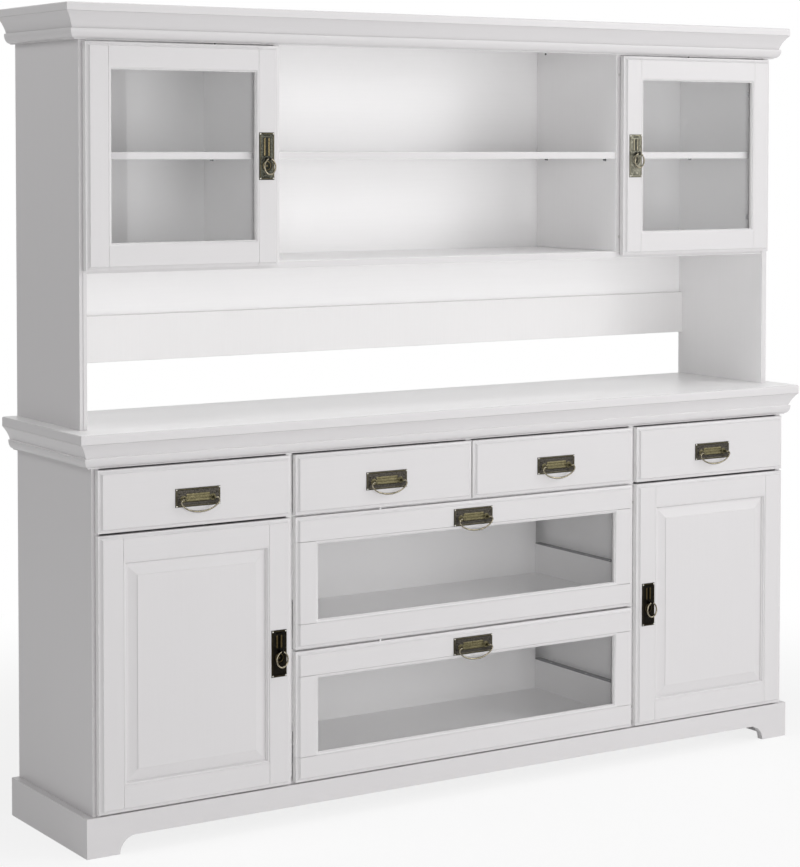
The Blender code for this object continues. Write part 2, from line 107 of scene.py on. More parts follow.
def newMaterial(name, **values):
    made = bpy.data.materials.new(name)
    made.use_nodes = True
    shader = made.node_tree.nodes["Principled BSDF"]
    for key, value in values.items():
        shader.inputs[key.replace("_", " ")].default_value = value
    wire = Wire(made.node_tree)
    return made, wire, wire.make("ShaderNodeTexCoord", out="Object"), shader


def feed(wire, shader, **values):
    for key, value in values.items():
        wire.tree.links.new(value.socket, shader.inputs[key.replace("_", " ")])


# Finishes

paintLook = {"light": (0.676, 0.661, 0.668), "shade": (0.667, 0.652, 0.659), "roughness": 0.36,
             "bump": 0.05, "depth": 0.0004}
boardLook = {"light": (0.960, 0.953, 0.955), "shade": (0.941, 0.934, 0.936), "roughness": 0.34,
             "bump": 0.04, "depth": 0.0003}


# Satin lacquer over a fine brushed grain that runs along one axis
def makePaint(name, along, look):
    made, wire, place, shader = newMaterial(name, IOR=1.5)
    across = [1.0, 1.0, 1.0]
    across["XYZ".index(along)] = 0.022
    streak = place.stretch(across).noise(190, 4.0, 0.62)
    fine = place.stretch(across).noise(900, 2.0, 0.5)
    peel = place.noise(420, 1.0)
    cloud = place.noise(2.3, 3.0)
    tone = (streak * 0.55 + cloud * 0.45).step(0.34, 0.66)
    gloss = look["roughness"] + streak * 0.06 + cloud * 0.10 - 0.08
    bump = (streak * 0.5 + fine * 0.3 + peel * 0.2).bump(look["bump"], look["depth"])
    feed(wire, shader, Base_Color=tone.blend(look["shade"], look["light"]), Roughness=gloss, Normal=bump)
    return made


# Aged metal: dark in the hollows, rubbed bright on what stands up; the attribute relief says which
def makeBrass(name, low, high, speckle, roughness=0.42):
    made, wire, place, shader = newMaterial(name, Metallic=1.0)
    relief = wire.make("ShaderNodeAttribute", {"attribute_name": "relief"}, None, "Fac")
    mottle = place.noise(430, 4.0, 0.62)
    fine = place.noise(1500, 3.0, 0.6)
    spots = (mottle * 0.7 + fine * 0.3).step(0.42, 0.58)
    raised = (relief + mottle * 0.2 - 0.1).step(0.50, 0.84)
    # The band at the foot of what stands up goes nearly black: painted shade round the raised parts
    foot = relief.step(0.33, 0.42) * (1.0 - relief.step(0.56, 0.76))
    dull = [channel * (1 - speckle) for channel in low], [channel * (1 - speckle * 0.45) for channel in high]
    worn = [channel * (1 + speckle) for channel in low], [channel * (1 + speckle * 0.45) for channel in high]
    bump = (mottle + fine * 0.6).bump(0.35, 0.0003)
    colour = raised.blend(spots.blend(dull[0], worn[0]), spots.blend(dull[1], worn[1]))
    # Painted shade: the foot band is blended towards a much darker copy of the low colour
    colour = (foot * 0.85).blend(colour, [channel * 0.18 for channel in low])
    feed(wire, shader, Base_Color=colour, Roughness=roughness - raised * 0.1 - spots * 0.06, Normal=bump)
    return made


def makeSteel(name, colour, roughness):
    made, wire, place, shader = newMaterial(name, Metallic=1.0)
    drawn = place.stretch((1.0, 0.03, 1.0)).noise(900, 3.0)
    spots = place.noise(60, 3.0)
    tone = (drawn * 0.5 + spots * 0.5).step(0.3, 0.7)
    feed(wire, shader, Base_Color=tone.blend([0.82 * c for c in colour], colour),
         Roughness=roughness + spots * 0.12, Normal=drawn.bump(0.1, 0.0002))
    return made


# Moulded plastic, rubber or pressed board: two near tones and a fine skin
def makePlain(name, light, shade, roughness, grain, bumpDepth=0.0002):
    made, wire, place, shader = newMaterial(name)
    speck = place.noise(grain, 5.0, 0.65)
    cloud = place.noise(9, 2.0)
    tone = (speck * 0.7 + cloud * 0.3).step(0.36, 0.64)
    feed(wire, shader, Base_Color=tone.blend(shade, light), Roughness=roughness + speck * 0.14,
         Normal=speck.bump(0.3, bumpDepth))
    return made


# Clear float glass: it lets light through, tints it slightly, and mirrors more at a grazing angle
def makeGlass(name, tint):
    made, wire, place, shader = newMaterial(name, Metallic=1.0)
    film = place.noise(5, 3.0)
    colour = film.blend((0.93, 0.94, 0.94), (0.97, 0.98, 0.98))
    feed(wire, shader, Base_Color=colour, Roughness=film * 0.02 + 0.01)
    clear = wire.make("ShaderNodeBsdfTransparent", None, {"Color": (*tint, 1.0)})
    behind = wire.make("ShaderNodeNewGeometry", out="Backfacing")
    edge = wire.make("ShaderNodeFresnel", None, {"IOR": 1.45 - behind * (1.45 - 1 / 1.45)})
    mirror = Wire(made.node_tree, shader.outputs[0])
    mixed = wire.make("ShaderNodeMixShader", None, {0: edge * 0.9, 1: clear, 2: mirror})
    wire.tree.links.new(mixed.socket, made.node_tree.nodes["Material Output"].inputs["Surface"])
    return made


# A lighter copy of the paint for faces that look sideways into the gaps between fronts: painted light in the
# gaps. The hutch's back rail is all in it
litPaintLook = {**paintLook, "light": (0.87, 0.86, 0.86), "shade": (0.85, 0.84, 0.84)}
litPaint = makePaint("litPaint", "Z", litPaintLook)
sideways = [(-1, 0, 0), (1, 0, 0)]
paint = {axis: makePaint(f"paint{axis}", axis, paintLook) for axis in "XYZ"}
white = {axis: makePaint(f"white{axis}", axis, boardLook) for axis in "XYZ"}
plateBrass = makeBrass("plateBrass", (0.046, 0.042, 0.036), (0.108, 0.095, 0.052), 0.6)
# Three copies of one brass for the door plates, darker or paler by door: painted light and shade
shadedDoorBrass = makeBrass("shadedDoorBrass", (0.0080, 0.0072, 0.0056), (0.052, 0.039, 0.017), 0.6)
halfLitDoorBrass = makeBrass("halfLitDoorBrass", (0.050, 0.050, 0.040), (0.105, 0.086, 0.045), 0.7)
litDoorBrass = makeBrass("litDoorBrass", (0.130, 0.126, 0.100), (0.200, 0.184, 0.134), 0.75)
ringBrass = makeBrass("ringBrass", (0.205, 0.183, 0.135), (0.205, 0.183, 0.135), 0.5, 0.22)
pinBrass = makeBrass("pinBrass", (0.560, 0.550, 0.500), (0.560, 0.550, 0.500), 0.12, 0.30)
steel = makeSteel("steel", (0.60, 0.60, 0.62), 0.28)
darkSteel = makeSteel("darkSteel", (0.20, 0.20, 0.21), 0.34)
coated = makePlain("coatedSteel", (0.76, 0.76, 0.77), (0.70, 0.70, 0.71), 0.34, 300)
nylon = makePlain("nylon", (0.74, 0.74, 0.72), (0.66, 0.66, 0.64), 0.40, 260)
rubber = makePlain("rubber", (0.55, 0.55, 0.54), (0.46, 0.46, 0.45), 0.48, 340)
darkPlastic = makePlain("darkPlastic", (0.060, 0.060, 0.062), (0.040, 0.040, 0.042), 0.45, 380)
hardboard = makePlain("hardboard", (0.47, 0.34, 0.22), (0.36, 0.25, 0.155), 0.66, 240, 0.0005)
glass = makeGlass("clearGlass", (0.979, 0.978, 0.979))
print("finishes made")


# Mesh helpers

# Angles of an arc, both ends with it, and of a whole turn
def arc(steps, whole=math.pi / 2):
    return [whole * i / steps for i in range(steps + 1)]


def around(count):
    return arc(count, 2 * math.pi)[:-1]


# A bevelled box between two opposite corners
def board(low, high, radius=0.0010, segments=2):
    bm = bmesh.new()
    bmesh.ops.create_cube(bm, size=1.0)
    for vert in bm.verts:
        for axis in range(3):
            pick = max if vert.co[axis] > 0 else min
            vert.co[axis] = pick(low[axis], high[axis])
    if radius:
        bmesh.ops.bevel(bm, geom=bm.edges[:], offset=radius, segments=segments, profile=0.5, affect="EDGES")
    return bm


# A skin over loops of points, capped, or closed round to its start
def skin(loops, ring=False):
    bm = bmesh.new()
    rows = [[bm.verts.new(point) for point in loop] for loop in loops]
    count = len(rows[0])
    pairs = list(zip(rows, rows[1:])) + ([(rows[-1], rows[0])] if ring else [])
    for first, second in pairs:
        for i in range(count):
            j = (i + 1) % count
            bm.faces.new((first[i], first[j], second[j], second[i]))
    if not ring:
        bm.faces.new(rows[0])
        bm.faces.new(rows[-1])
    return bm


def easeEdges(bm, radius, segments=2):
    sharp = [edge for edge in bm.edges if edge.calc_face_angle(0.0) > math.radians(30)]
    bmesh.ops.bevel(bm, geom=sharp, offset=radius, segments=segments, profile=0.5, affect="EDGES")


# An outline swept straight along an axis, with its edges eased
def prism(points, axis, start, stop, radius=0.0008, segments=2):
    slot = "XYZ".index(axis)
    bm = skin([[(*point[:slot], t, *point[slot:]) for point in points] for t in (start, stop)])
    if radius:
        easeEdges(bm, radius, segments)
    return bm


# A turned shape: pairs of distance along the axis and radius, from a centre
def turned(centre, axis, profile, sides=20):
    centre = Vector(centre)
    axis = Vector(axis).normalized()
    out = axis.orthogonal().normalized()
    other = axis.cross(out)
    ways = [out * math.cos(a) + other * math.sin(a) for a in around(sides)]
    return skin([[centre + axis * along + way * radius for way in ways] for along, radius in profile])


# A round bar along points, with its own radius at each
def bar(points, radii, sides=12, ring=False, side=Vector((0, 1, 0))):
    points = [Vector(point) for point in points]
    count = len(points)
    loops = []
    for i, point in enumerate(points):
        ahead = points[(i + 1) % count] if ring or i + 1 < count else point
        behind = points[i - 1] if ring or i > 0 else point
        across = (ahead - behind).normalized().cross(side).normalized()
        loops.append([point + (across * math.cos(a) + side * math.sin(a)) * radii[i] for a in around(sides)])
    return skin(loops, ring)


# Points along a smooth line through a few points
def smoothLine(points, steps):
    made = []
    padded = [2 * points[0] - points[1]] + points + [2 * points[-1] - points[-2]]
    for a, b, c, d in zip(padded, padded[1:], padded[2:], padded[3:]):
        for i in range(steps):
            t = i / steps
            bend = (2 * a - 5 * b + 4 * c - d) * t**2 + (3 * b - a - 3 * c + d) * t**3
            made.append((2 * b + (c - a) * t + bend) / 2)
    return made + [points[-1]]


def rectangle(x0, x1, z0, z1, inset, y, sides=(1, 1, 1, 1)):
    x0, x1 = x0 + inset * sides[0], x1 - inset * sides[1]
    z0, z1 = z0 + inset * sides[2], z1 - inset * sides[3]
    return [(x0, y, z0), (x1, y, z0), (x1, y, z1), (x0, y, z1)]


edgeLook = {"wide": 0.0096, "deep": 0.0060, "quirk": 0.0014, "arris": 0.0007, "curve": 1.9, "steps": 8}


# A quarter turn of the given width and depth, as inset and depth from the side up to the face
def quarter(wide, deep, steps):
    return [(wide * (1 - math.cos(a)), deep * (1 - math.sin(a))) for a in arc(steps)]


# A front board: from its side a hollow rises over the width of the edge, then a small quirk up to the face.
# The sides say how much of that edge each side gets
def frontBoard(x0, x1, z0, z1, face, back, sides=(1, 1, 1, 1)):
    ease, arris, quirk = 0.0008, edgeLook["arris"], edgeLook["quirk"]
    wide, deep, steps = edgeLook["wide"], edgeLook["deep"], edgeLook["steps"]
    rows = [(ease, back), (ease * 0.3, back - ease * 0.3), (0, back - ease), (0, deep + arris)]
    for i in range(steps + 1):
        t = i / steps
        drop = (deep - quirk) * (1 - t ** edgeLook["curve"])
        rows.append((arris * 0.4 + (wide - arris * 0.4) * t, quirk + drop))
    rows += [(wide + 0.0003, quirk - 0.0002), (wide + 0.0004, 0.0004), (wide + 0.0006, 0.0001),
             (wide + 0.0010, 0)]
    return skin([rectangle(x0, x1, z0, z1, inset, face + y, sides) for inset, y in rows])


# A mitred ring of moulding round a hole: pairs of distance from the hole's edge outwards and depth
def mouldedRing(hole, profile, face):
    return skin([rectangle(*hole, -out, face + y) for out, y in profile], ring=True)


# Several closed shells in one mesh; a shell may come with the number of its finish
def gather(parts):
    whole = bmesh.new()
    for part in parts:
        part, number = part if isinstance(part, tuple) else (part, 0)
        for item in part.faces:
            item.material_index = number
        mesh = bpy.data.meshes.new("part")
        bmesh.ops.recalc_face_normals(part, faces=part.faces)
        part.to_mesh(mesh)
        part.free()
        whole.from_mesh(mesh)
        bpy.data.meshes.remove(mesh)
    return whole


# A mesh, lamp or camera as an object of the scene
def linked(name, data):
    made = bpy.data.objects.new(name, data)
    bpy.context.scene.collection.objects.link(made)
    return made


# A mesh object, smooth apart from the edges over the angle
def shaped(name, bm, angle):
    mesh = bpy.data.meshes.new(name)
    bm.to_mesh(mesh)
    bm.free()
    mesh.shade_smooth()
    mesh.set_sharp_from_angle(angle=math.radians(angle))
    return linked(name, mesh)


# The evaluated mesh takes the modifiers' place
def applyModifiers(made):
    graph = bpy.context.evaluated_depsgraph_get()
    mesh = bpy.data.meshes.new_from_object(made.evaluated_get(graph))
    made.modifiers.clear()
    made.data = mesh


# A finished piece: shaded by its flat faces, riding on its body, in place of CAD nodes.
# Facing gives directions, and the number of the finish for faces that look along them
def piece(name, parts, finishes, body, nodes=(), angle=40, facing=None):
    bm = gather(parts if isinstance(parts, list) else [parts])
    if facing:
        ways, number = facing
        bm.normal_update()
        for item in bm.faces:
            if any(item.normal.dot(Vector(way)) > 0.9 for way in ways):
                item.material_index = number
    made = shaped(name, bm, angle)
    for finish in finishes if isinstance(finishes, list) else [finishes]:
        made.data.materials.append(finish)
    weigh = made.modifiers.new("weigh", "WEIGHTED_NORMAL")
    weigh.keep_sharp = True
    applyModifiers(made)
    if body:
        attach(made, body)
    if nodes:
        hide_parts(*nodes)
    return made


def boxOf(node):
    low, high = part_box(node)
    return Vector(low), Vector(high)


# A front's left, right, lowest and highest edge, and its face
def frontOf(node):
    low, high = boxOf(node)
    return low.x, high.x, low.z, high.z, low.y


# A node's or body's name as the start of a piece's name
def tagOf(name):
    return name.title().replace("_", "")


# Carcass

sizes = {"board": 0.018, "frontThickness": 0.021, "plinth": 0.020, "fit": 0.0003}
thick, frontDepth, fit = (sizes[key] for key in ("board", "frontThickness", "fit"))
sideLow, sideHigh = boxOf("lower_right_side")
half = sideHigh.x                        # outer face of the sides
sideInner = half - thick
backY = sideHigh.y
carcassFront = sideLow.y
hutchFront = boxOf("hutch_right_side")[0].y
worktopLow = boxOf("worktop")[0]
plinthLow, plinthHigh = boxOf("plinth")
topLow, topHigh = boxOf("hutch_top")
backInner = boxOf("hutch_back_panel")[0].y
hutchPartitionLow, hutchPartitionHigh = boxOf("hutch_right_partition")
partitionInner, partitionOuter = hutchPartitionLow.x, hutchPartitionHigh.x

runner = {"space": 0.0125, "play": 0.0015, "railHeight": 0.008, "barHeight": 0.012, "setBack": 0.004,
          "length": 0.360, "sheet": 0.0011, "screws": (0.045, 0.150, 0.320)}
reach = runner["space"] - runner["play"]
glassDrawers = ("lower_glass_drawer", "upper_glass_drawer")
smallDrawers = tuple(f"top_drawer_{n}" for n in (1, 2, 3, 4))


# A channel on a board's face, with a nylon roller at its front end
def runnerRail(face, side, top):
    sheet = runner["sheet"]
    low, front = top - runner["railHeight"], carcassFront + runner["setBack"]
    near, far = face + side * touch, face + side * reach
    outline = [(near, low), (far, low), (far, low + sheet), (near + side * sheet, low + sheet),
               (near + side * sheet, top - sheet), (far, top - sheet), (far, top), (near, top)]
    channel = prism(outline, "Y", front, front + runner["length"], 0)
    radius = runner["railHeight"] / 2 - sheet - hair
    wheel = [(0, radius * 0.8), (0.0006, radius), (0.0062, radius), (0.0068, radius * 0.8)]
    centre = (near + side * (sheet + 0.0004), front + 0.010, (low + top) / 2)
    return [(channel, 1), (turned(centre, (side, 0, 0), wheel), 2)]


boxLook = {"side": 0.012, "smallFloor": 0.006, "smallHeight": 0.110, "smallLift": 0.010, "barRise": 0.030,
           "glassFloor": 0.008, "glassSide": 0.082}

# Top of the fixed rail under a moving bar, read from the box that the bar belongs to
smallRailTop = boxOf("top_drawer_1")[0].z + boxLook["smallLift"] + boxLook["barRise"] - fit
lowSide = boxLook["glassFloor"] + boxLook["glassSide"]
capTops = {name: boxOf(f"{name}_box")[0].z + lowSide for name in glassDrawers}
glassRailTops = {name: capTops[name] - runner["barHeight"] - fit for name in glassDrawers}

# The outer part of a side's front edge steps back, so that an opening door's edge clears it
doorRelief = {"width": 0.009, "lower": 0.0026, "hutch": 0.0015}

carcassFinish = [white["Z"], coated, nylon]
for word, side in (("left", -1), ("right", 1)):
    outer, middle, inner = side * half, side * (half - doorRelief["width"]), side * sideInner
    low, high = boxOf(f"lower_{word}_side")
    notch, foot = plinthLow.y + sizes["plinth"] + fit, plinthHigh.z + fit
    parts = runnerRail(inner, -side, smallRailTop)
    for near, far, front in ((outer, middle, low.y + doorRelief["lower"]), (middle, inner, low.y)):
        outline = [(front, foot), (notch, foot), (notch, 0), (backY, 0), (backY, high.z), (front, high.z)]
        parts.append(prism(outline, "X", near, far, 0.0004))
    piece(f"lowerSide{word}", parts, [paint["Z"], coated, nylon], cabinet, [f"lower_{word}_side"])

    low, high = boxOf(f"lower_{word}_partition")
    corners = (side * partitionInner, low.y, low.z), (side * partitionOuter, high.y, high.z)
    parts = [board(*corners)] + runnerRail(side * partitionOuter, side, smallRailTop)
    for top in [smallRailTop, *glassRailTops.values()]:
        parts += runnerRail(side * partitionInner, -side, top)
    piece(f"lowerPartition{word}", parts, carcassFinish, cabinet, [f"lower_{word}_partition"])

    low, high = boxOf(f"hutch_{word}_side")
    front = low.y + doorRelief["hutch"]
    outline = [(outer, front), (middle, front), (middle, low.y), (inner, low.y), (inner, high.y),
               (outer, high.y)]
    piece(f"hutchSide{word}", prism(outline, "Z", low.z, high.z, 0.0006), [paint["Z"], white["Z"]],
          cabinet, [f"hutch_{word}_side"], facing=([(-side, 0, 0)], 1))

low, high = boxOf("drawer_divider")
shelfTop, edge = low.z + thick, thick / 2
parts = [(board(low, (high.x, high.y, shelfTop)), 3),
         board((-edge, low.y, shelfTop + touch), (edge, high.y, high.z))]
for side in (-1, 1):
    parts += runnerRail(side * edge, side, smallRailTop)
piece("drawerDivider", parts, carcassFinish + [white["X"]], cabinet, ["drawer_divider"])

# Plain boards: the axis that the grain follows, the ease of the edges, and the nodes
plainBoards = [
    ("X", 0.0010, ["lower_bottom"]), ("X", 0.0014, ["lower_left_shelf", "lower_right_shelf", "hutch_bottom"]),
    ("X", 0.0022, ["hutch_left_shelf", "hutch_right_shelf", "hutch_middle_shelf"]),
    ("Z", 0.0010, ["hutch_left_partition", "hutch_right_partition"]),
]
for along, ease, nodes in plainBoards:
    for node in nodes:
        piece(tagOf(node), board(*boxOf(node), ease, 3), [white[along], paint[along]], cabinet, [node],
              facing=([(0, -1, 0)], 1))
# The back rail takes the lighter copy of the paint
piece("HutchBackRail", board(*boxOf("hutch_back_rail"), 0.0014, 3), litPaint, cabinet, ["hutch_back_rail"])

# Pressed board: painted towards the room, bare behind
backLook = {"nailHead": 0.0009, "bare": 0.0006, "shy": 0.0002}
backPanels = ("lower_back_panel", "hutch_back_panel")
for node in backPanels:
    low, high = boxOf(node)
    rear, shy = high.y - backLook["nailHead"], backLook["shy"]
    seam = rear - backLook["bare"]
    skinLow, skinHigh = (low.x + shy, seam + touch, low.z + shy), (high.x - shy, rear, high.z - shy)
    parts = [board(low, (high.x, seam, high.z), 0.0003, 1), (board(skinLow, skinHigh, shy, 1), 1)]
    piece(tagOf(node), parts, [white["X"], hardboard], cabinet, [node])
print("carcass boards made")


# Plinth: three boards with mitred corners

plinthLook = {"foot": 0.085, "cutout": 0.041, "ease": 0.0006, "steps": 14}


def makePlinth():
    wide, foot, radius, ease = sizes["plinth"], plinthLook["foot"], plinthLook["cutout"], plinthLook["ease"]
    x, front, top = plinthHigh.x, plinthLow.y, plinthHigh.z
    right = [(x - foot - radius * (1 - math.cos(a)), radius * math.sin(a)) for a in arc(plinthLook["steps"])]
    outline = [(-x, 0)] + [(-px, z) for px, z in right] + right[::-1] + [(x, 0), (x, top), (-x, top)]
    bm = prism(outline, "Y", front, front + wide, 0)
    for vert in bm.verts:                                   # the ends are cut at 45 degrees
        if abs(vert.co.x) > x - 1e-6 and vert.co.y > front + wide / 2:
            vert.co.x = math.copysign(x - wide, vert.co.x)
    for vert in bm.verts:
        if abs(vert.co.x) > x - wide - 1e-6:
            vert.co.x -= math.copysign(hairline, vert.co.x)
    easeEdges(bm, ease)
    parts = [bm]
    for side in (-1, 1):
        inner = side * (half + fit)
        ahead = front + hairline
        plan = [(side * x, ahead), (side * x, backY), (inner, backY), (inner, ahead + wide)]
        parts.append((prism(plan, "Z", 0, top, ease), 1))
    piece("plinthBoards", parts, [paint["X"], paint["Y"]], cabinet, ["plinth"])


makePlinth()


# Worktop and cornice: a board over three mitred runs of moulding

worktopLook = {"foot": 0.004, "footHeight": 0.003, "bead": 0.012, "beadHeight": 0.020, "fillet": 0.003,
               "step": 0.004, "cove": 0.020, "coveHeight": 0.034, "coveSag": 0.0025, "thickness": 0.023,
               "sideExtra": 0.008, "lip": 0.004}
corniceLook = {"foot": 0.0076, "footHeight": 0.002, "bead": 0.015, "beadHeight": 0.0205, "fillet": 0.004,
               "step": 0.005, "cove": 0.022, "coveHeight": 0.0385, "coveSag": 0.003, "thickness": 0.020,
               "sideExtra": 0.0064, "lip": 0.004}


# Projection and height of the moulding's face from its foot up, without the board on it
def mouldingFace(look, steps=14):
    foot, beadOut = look["foot"], look["foot"] + look["bead"]
    points = [(foot - 0.0004, 0), (foot, 0.0004)]
    for turn in arc(steps):
        height = look["footHeight"] + look["beadHeight"] * (1 - math.cos(turn))
        points.append((foot + look["bead"] * math.sin(turn), height))
    coveLow = look["footHeight"] + look["beadHeight"] + look["fillet"]
    points += [(beadOut, coveLow - 0.0010), (beadOut - 0.0004, coveLow - 0.0005)]
    for i in range(steps + 1):
        t = i / steps
        out = beadOut - look["step"] + look["cove"] * t - look["coveSag"] * 4 * t * (1 - t)
        points.append((out, coveLow + look["coveHeight"] * t))
    return points


# One run along the front and one along each side, cut at 45 degrees where they meet, and the board on them
def moulded(look, front, foot):
    face = mouldingFace(look)
    lip, height = face[-1]
    wide, inner, ease = half + look["sideExtra"], fit, 0.0009
    closed = face[:-1] + [(lip, height - hairline), (inner, height - hairline), (inner, 0)]
    runs = [[(side * (wide + out - hairline), front - out, foot + z) for out, z in closed] for side in (-1, 1)]
    parts = [skin(runs)]
    for side in (-1, 1):
        across = [side * (half + inner if out == inner else wide + out) for out, z in closed]
        ahead = [(x, front - out + hairline, foot + z) for x, (out, z) in zip(across, closed)]
        parts.append((skin([ahead, [(x, backY, z) for x, y, z in ahead]]), 1))
    low, high = foot + height, foot + height + look["thickness"]
    rim = [(ease, low), (ease * 0.3, low + ease * 0.3), (0, low + ease)]
    rim += [(inset, high - drop) for inset, drop in quarter(look["lip"], look["lip"], 6)]
    loops = []
    for inset, z in rim:
        x, y = wide + lip - inset, front - lip + inset
        loops.append([(-x, backY, z), (-x, y, z), (x, y, z), (x, backY, z)])
    return parts + [(skin(loops), 2)]


runFinish = [paint["X"], paint["Y"], paint["X"], white["X"]]
# Faces of the worktop that look up take the white board finish, lighter than the paint of its moulding:
# painted light from above
piece("worktopBoard", moulded(worktopLook, carcassFront, worktopLow.z), runFinish, cabinet, ["worktop"],
      facing=([(0, 0, 1)], 3))

# The cornice also carries the hutch's ceiling and a rail over its front
near, inner = hutchFront - hair, sideInner - fit
ceilingLow = hutchPartitionHigh.z + fit
ceilingTop = ceilingLow + thick
ribTop = topHigh.z - corniceLook["thickness"] - hairline
parts = moulded(corniceLook, hutchFront, topLow.z)
parts += [(board((-inner, near, ceilingLow), (inner, backInner - fit, ceilingTop)), 3),
          board((-inner, near, ceilingTop + hairline), (inner, hutchFront + thick, ribTop))]
piece("corniceBoard", parts, runFinish, cabinet, ["hutch_top"])
print("plinth, worktop and cornice made")


# Doors and glazed drawers

frameLook = {"stile": 0.070, "hutchStile": 0.065, "drawerStile": 0.062, "drawerRail": 0.070, "rebate": 0.008,
             "glassBack": 0.016, "butt": 0.035}

# Distance from the hole's edge outwards, and depth: a small step, a soft bead and a curve down to the panel
beadProfile = [(0.0080, 0), (0.0072, 0), (0.0070, 0.0002), (0.0068, 0.0015), (0.0064, 0.0016),
               (0.0055, 0.0013), (0.0046, 0.0012), (0.0038, 0.0014), (0.0030, 0.0020), (0.0022, 0.0030),
               (0.0015, 0.0042), (0.0009, 0.0056), (0.0004, 0.0072), (-0.0003, 0.0085), (-0.0008, 0.0090),
               (0.0080, 0.0091)]

# Round a pane: a soft round, then a ledge, then down past the glass
sightProfile = [(0.0080, 0)] + [(0.0075 - 0.0054 * math.sin(a), 0.0036 * (1 - math.cos(a))) for a in arc(6)]
sightProfile += [(0.0005, 0.0036), (0.0001, 0.0038), (0, 0.0042), (0, 0.0118), (0.0002, 0.0120),
                 (0.0080, 0.0120)]


# Two stiles, two rails, and the moulded strip round the hole; on drawers the rails run through
def frameParts(x0, x1, z0, z1, face, stile, rail, profile, railsThrough=False):
    full, butt, gap = frameLook["rebate"], frameLook["butt"], hairline
    x2, x3, z2, z3 = x0 + stile - full, x1 - stile + full, z0 + rail - full, z1 - rail + full
    if railsThrough:
        layout = [((x0, x2, z2 + gap, z3 - gap), (1, 0, butt, butt), 0),
                  ((x3, x1, z2 + gap, z3 - gap), (0, 1, butt, butt), 0),
                  ((x0, x1, z0, z2 - gap), (1, 1, 1, butt), 1), ((x0, x1, z3 + gap, z1), (1, 1, butt, 1), 1)]
    else:
        layout = [((x0, x2 - gap, z0, z1), (1, butt, 1, 1), 0), ((x3 + gap, x1, z0, z1), (butt, 1, 1, 1), 0),
                  ((x2, x3, z0, z2), (butt, butt, 1, 0), 1), ((x2, x3, z3, z1), (butt, butt, 0, 1), 1)]
    parts = [(frontBoard(*place, face, frontDepth, sides), finish) for place, sides, finish in layout]
    hole = (x0 + stile, x1 - stile, z0 + rail, z1 - rail)
    return parts + [mouldedRing(hole, profile, face)], hole


# Strips that hold the pane from behind
def glazingStrips(hole, face):
    near, deep = frameLook["glassBack"] + 0.0006, frontDepth - 0.0004
    wide = frameLook["rebate"] - 0.0004
    profile = [(wide, near), (0.0014, near), (0.0014, near + 0.0008), (0.0024, deep - 0.0016),
               (0.0034, deep - 0.0004), (0.0044, deep), (wide, deep)]
    return mouldedRing(hole, profile, face)


panelLook = {"seat": 0.0093, "thickness": 0.009, "bevel": 0.028, "rise": 0.0076}


# A flat field with a bevelled margin; the corners of the bevel meet in mitres
def raisedPanel(hole, face):
    seat, bevel = panelLook["seat"], panelLook["bevel"]
    field = seat - panelLook["rise"]
    edge = fit - frameLook["rebate"]
    start = 0.0046
    rows = [(edge, seat + panelLook["thickness"]), (edge, seat), (0.0012, seat), (start, seat - 0.0002)]
    for i in range(1, 8):
        t = i / 8
        rows.append((start + (bevel - start) * t, seat - 0.0002 - (panelLook["rise"] - 0.0017) * t**1.05))
    rows += [(bevel, field + 0.0014), (bevel + 0.0002, field + 0.0005), (bevel + 0.0008, field + 0.0001),
             (bevel + 0.0018, field)]
    return skin([rectangle(*hole, inset, face + y) for inset, y in rows])


# Soft stops on the back of a door or front
def makeStops(name, back, places):
    profile = [(0, 0.0042), (0.0009, 0.0042), (0.0014, 0.0034)]
    pads = [turned((x, back - hair, z), (0, 1, 0), profile, 18) for x, z in places]
    piece(f"{tagOf(name)}Stops", pads, rubber, name)


# The frame of a door or glazed drawer; a pane is the CAD's own, with the glass on it and strips behind
def makeFrame(name, stile, rail, profile, glazed=True, railsThrough=False):
    front = frontOf(f"{name}_frame")
    parts, hole = frameParts(*front, stile, rail, profile, railsThrough)
    if glazed:
        parts.append((glazingStrips(hole, front[-1]), 1))
        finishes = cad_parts[f"{name}_glass"].data.materials
        finishes.clear()
        finishes.append(glass)
    # Faces that look sideways take the lighter copy of the paint, as painted light in the gaps
    finishes = [paint["Z"], paint["X"], litPaint]
    piece(f"{tagOf(name)}Frame", parts, finishes, name, [f"{name}_frame"], facing=(sideways, 2))
    return hole


stopLook = {"x": 0.002, "doorEnds": 0.050, "drawerX": 0.010, "drawerZ": 0.012}
doors = ("lower_left_door", "lower_right_door", "hutch_left_door", "hutch_right_door")
for name in doors:
    low, high = boxOf(f"{name}_frame")
    if name.startswith("hutch"):
        makeFrame(name, frameLook["hutchStile"], frameLook["hutchStile"], sightProfile)
    else:
        hole = makeFrame(name, frameLook["stile"], frameLook["stile"], beadProfile, False)
        piece(f"{tagOf(name)}Panel", raisedPanel(hole, low.y), paint["Z"], name, [f"{name}_panel"], angle=12)
    x = (-1 if "left" in name else 1) * ((partitionOuter + partitionInner) / 2 + stopLook["x"])
    makeStops(name, high.y, [(x, low.z + stopLook["doorEnds"]), (x, high.z - stopLook["doorEnds"])])


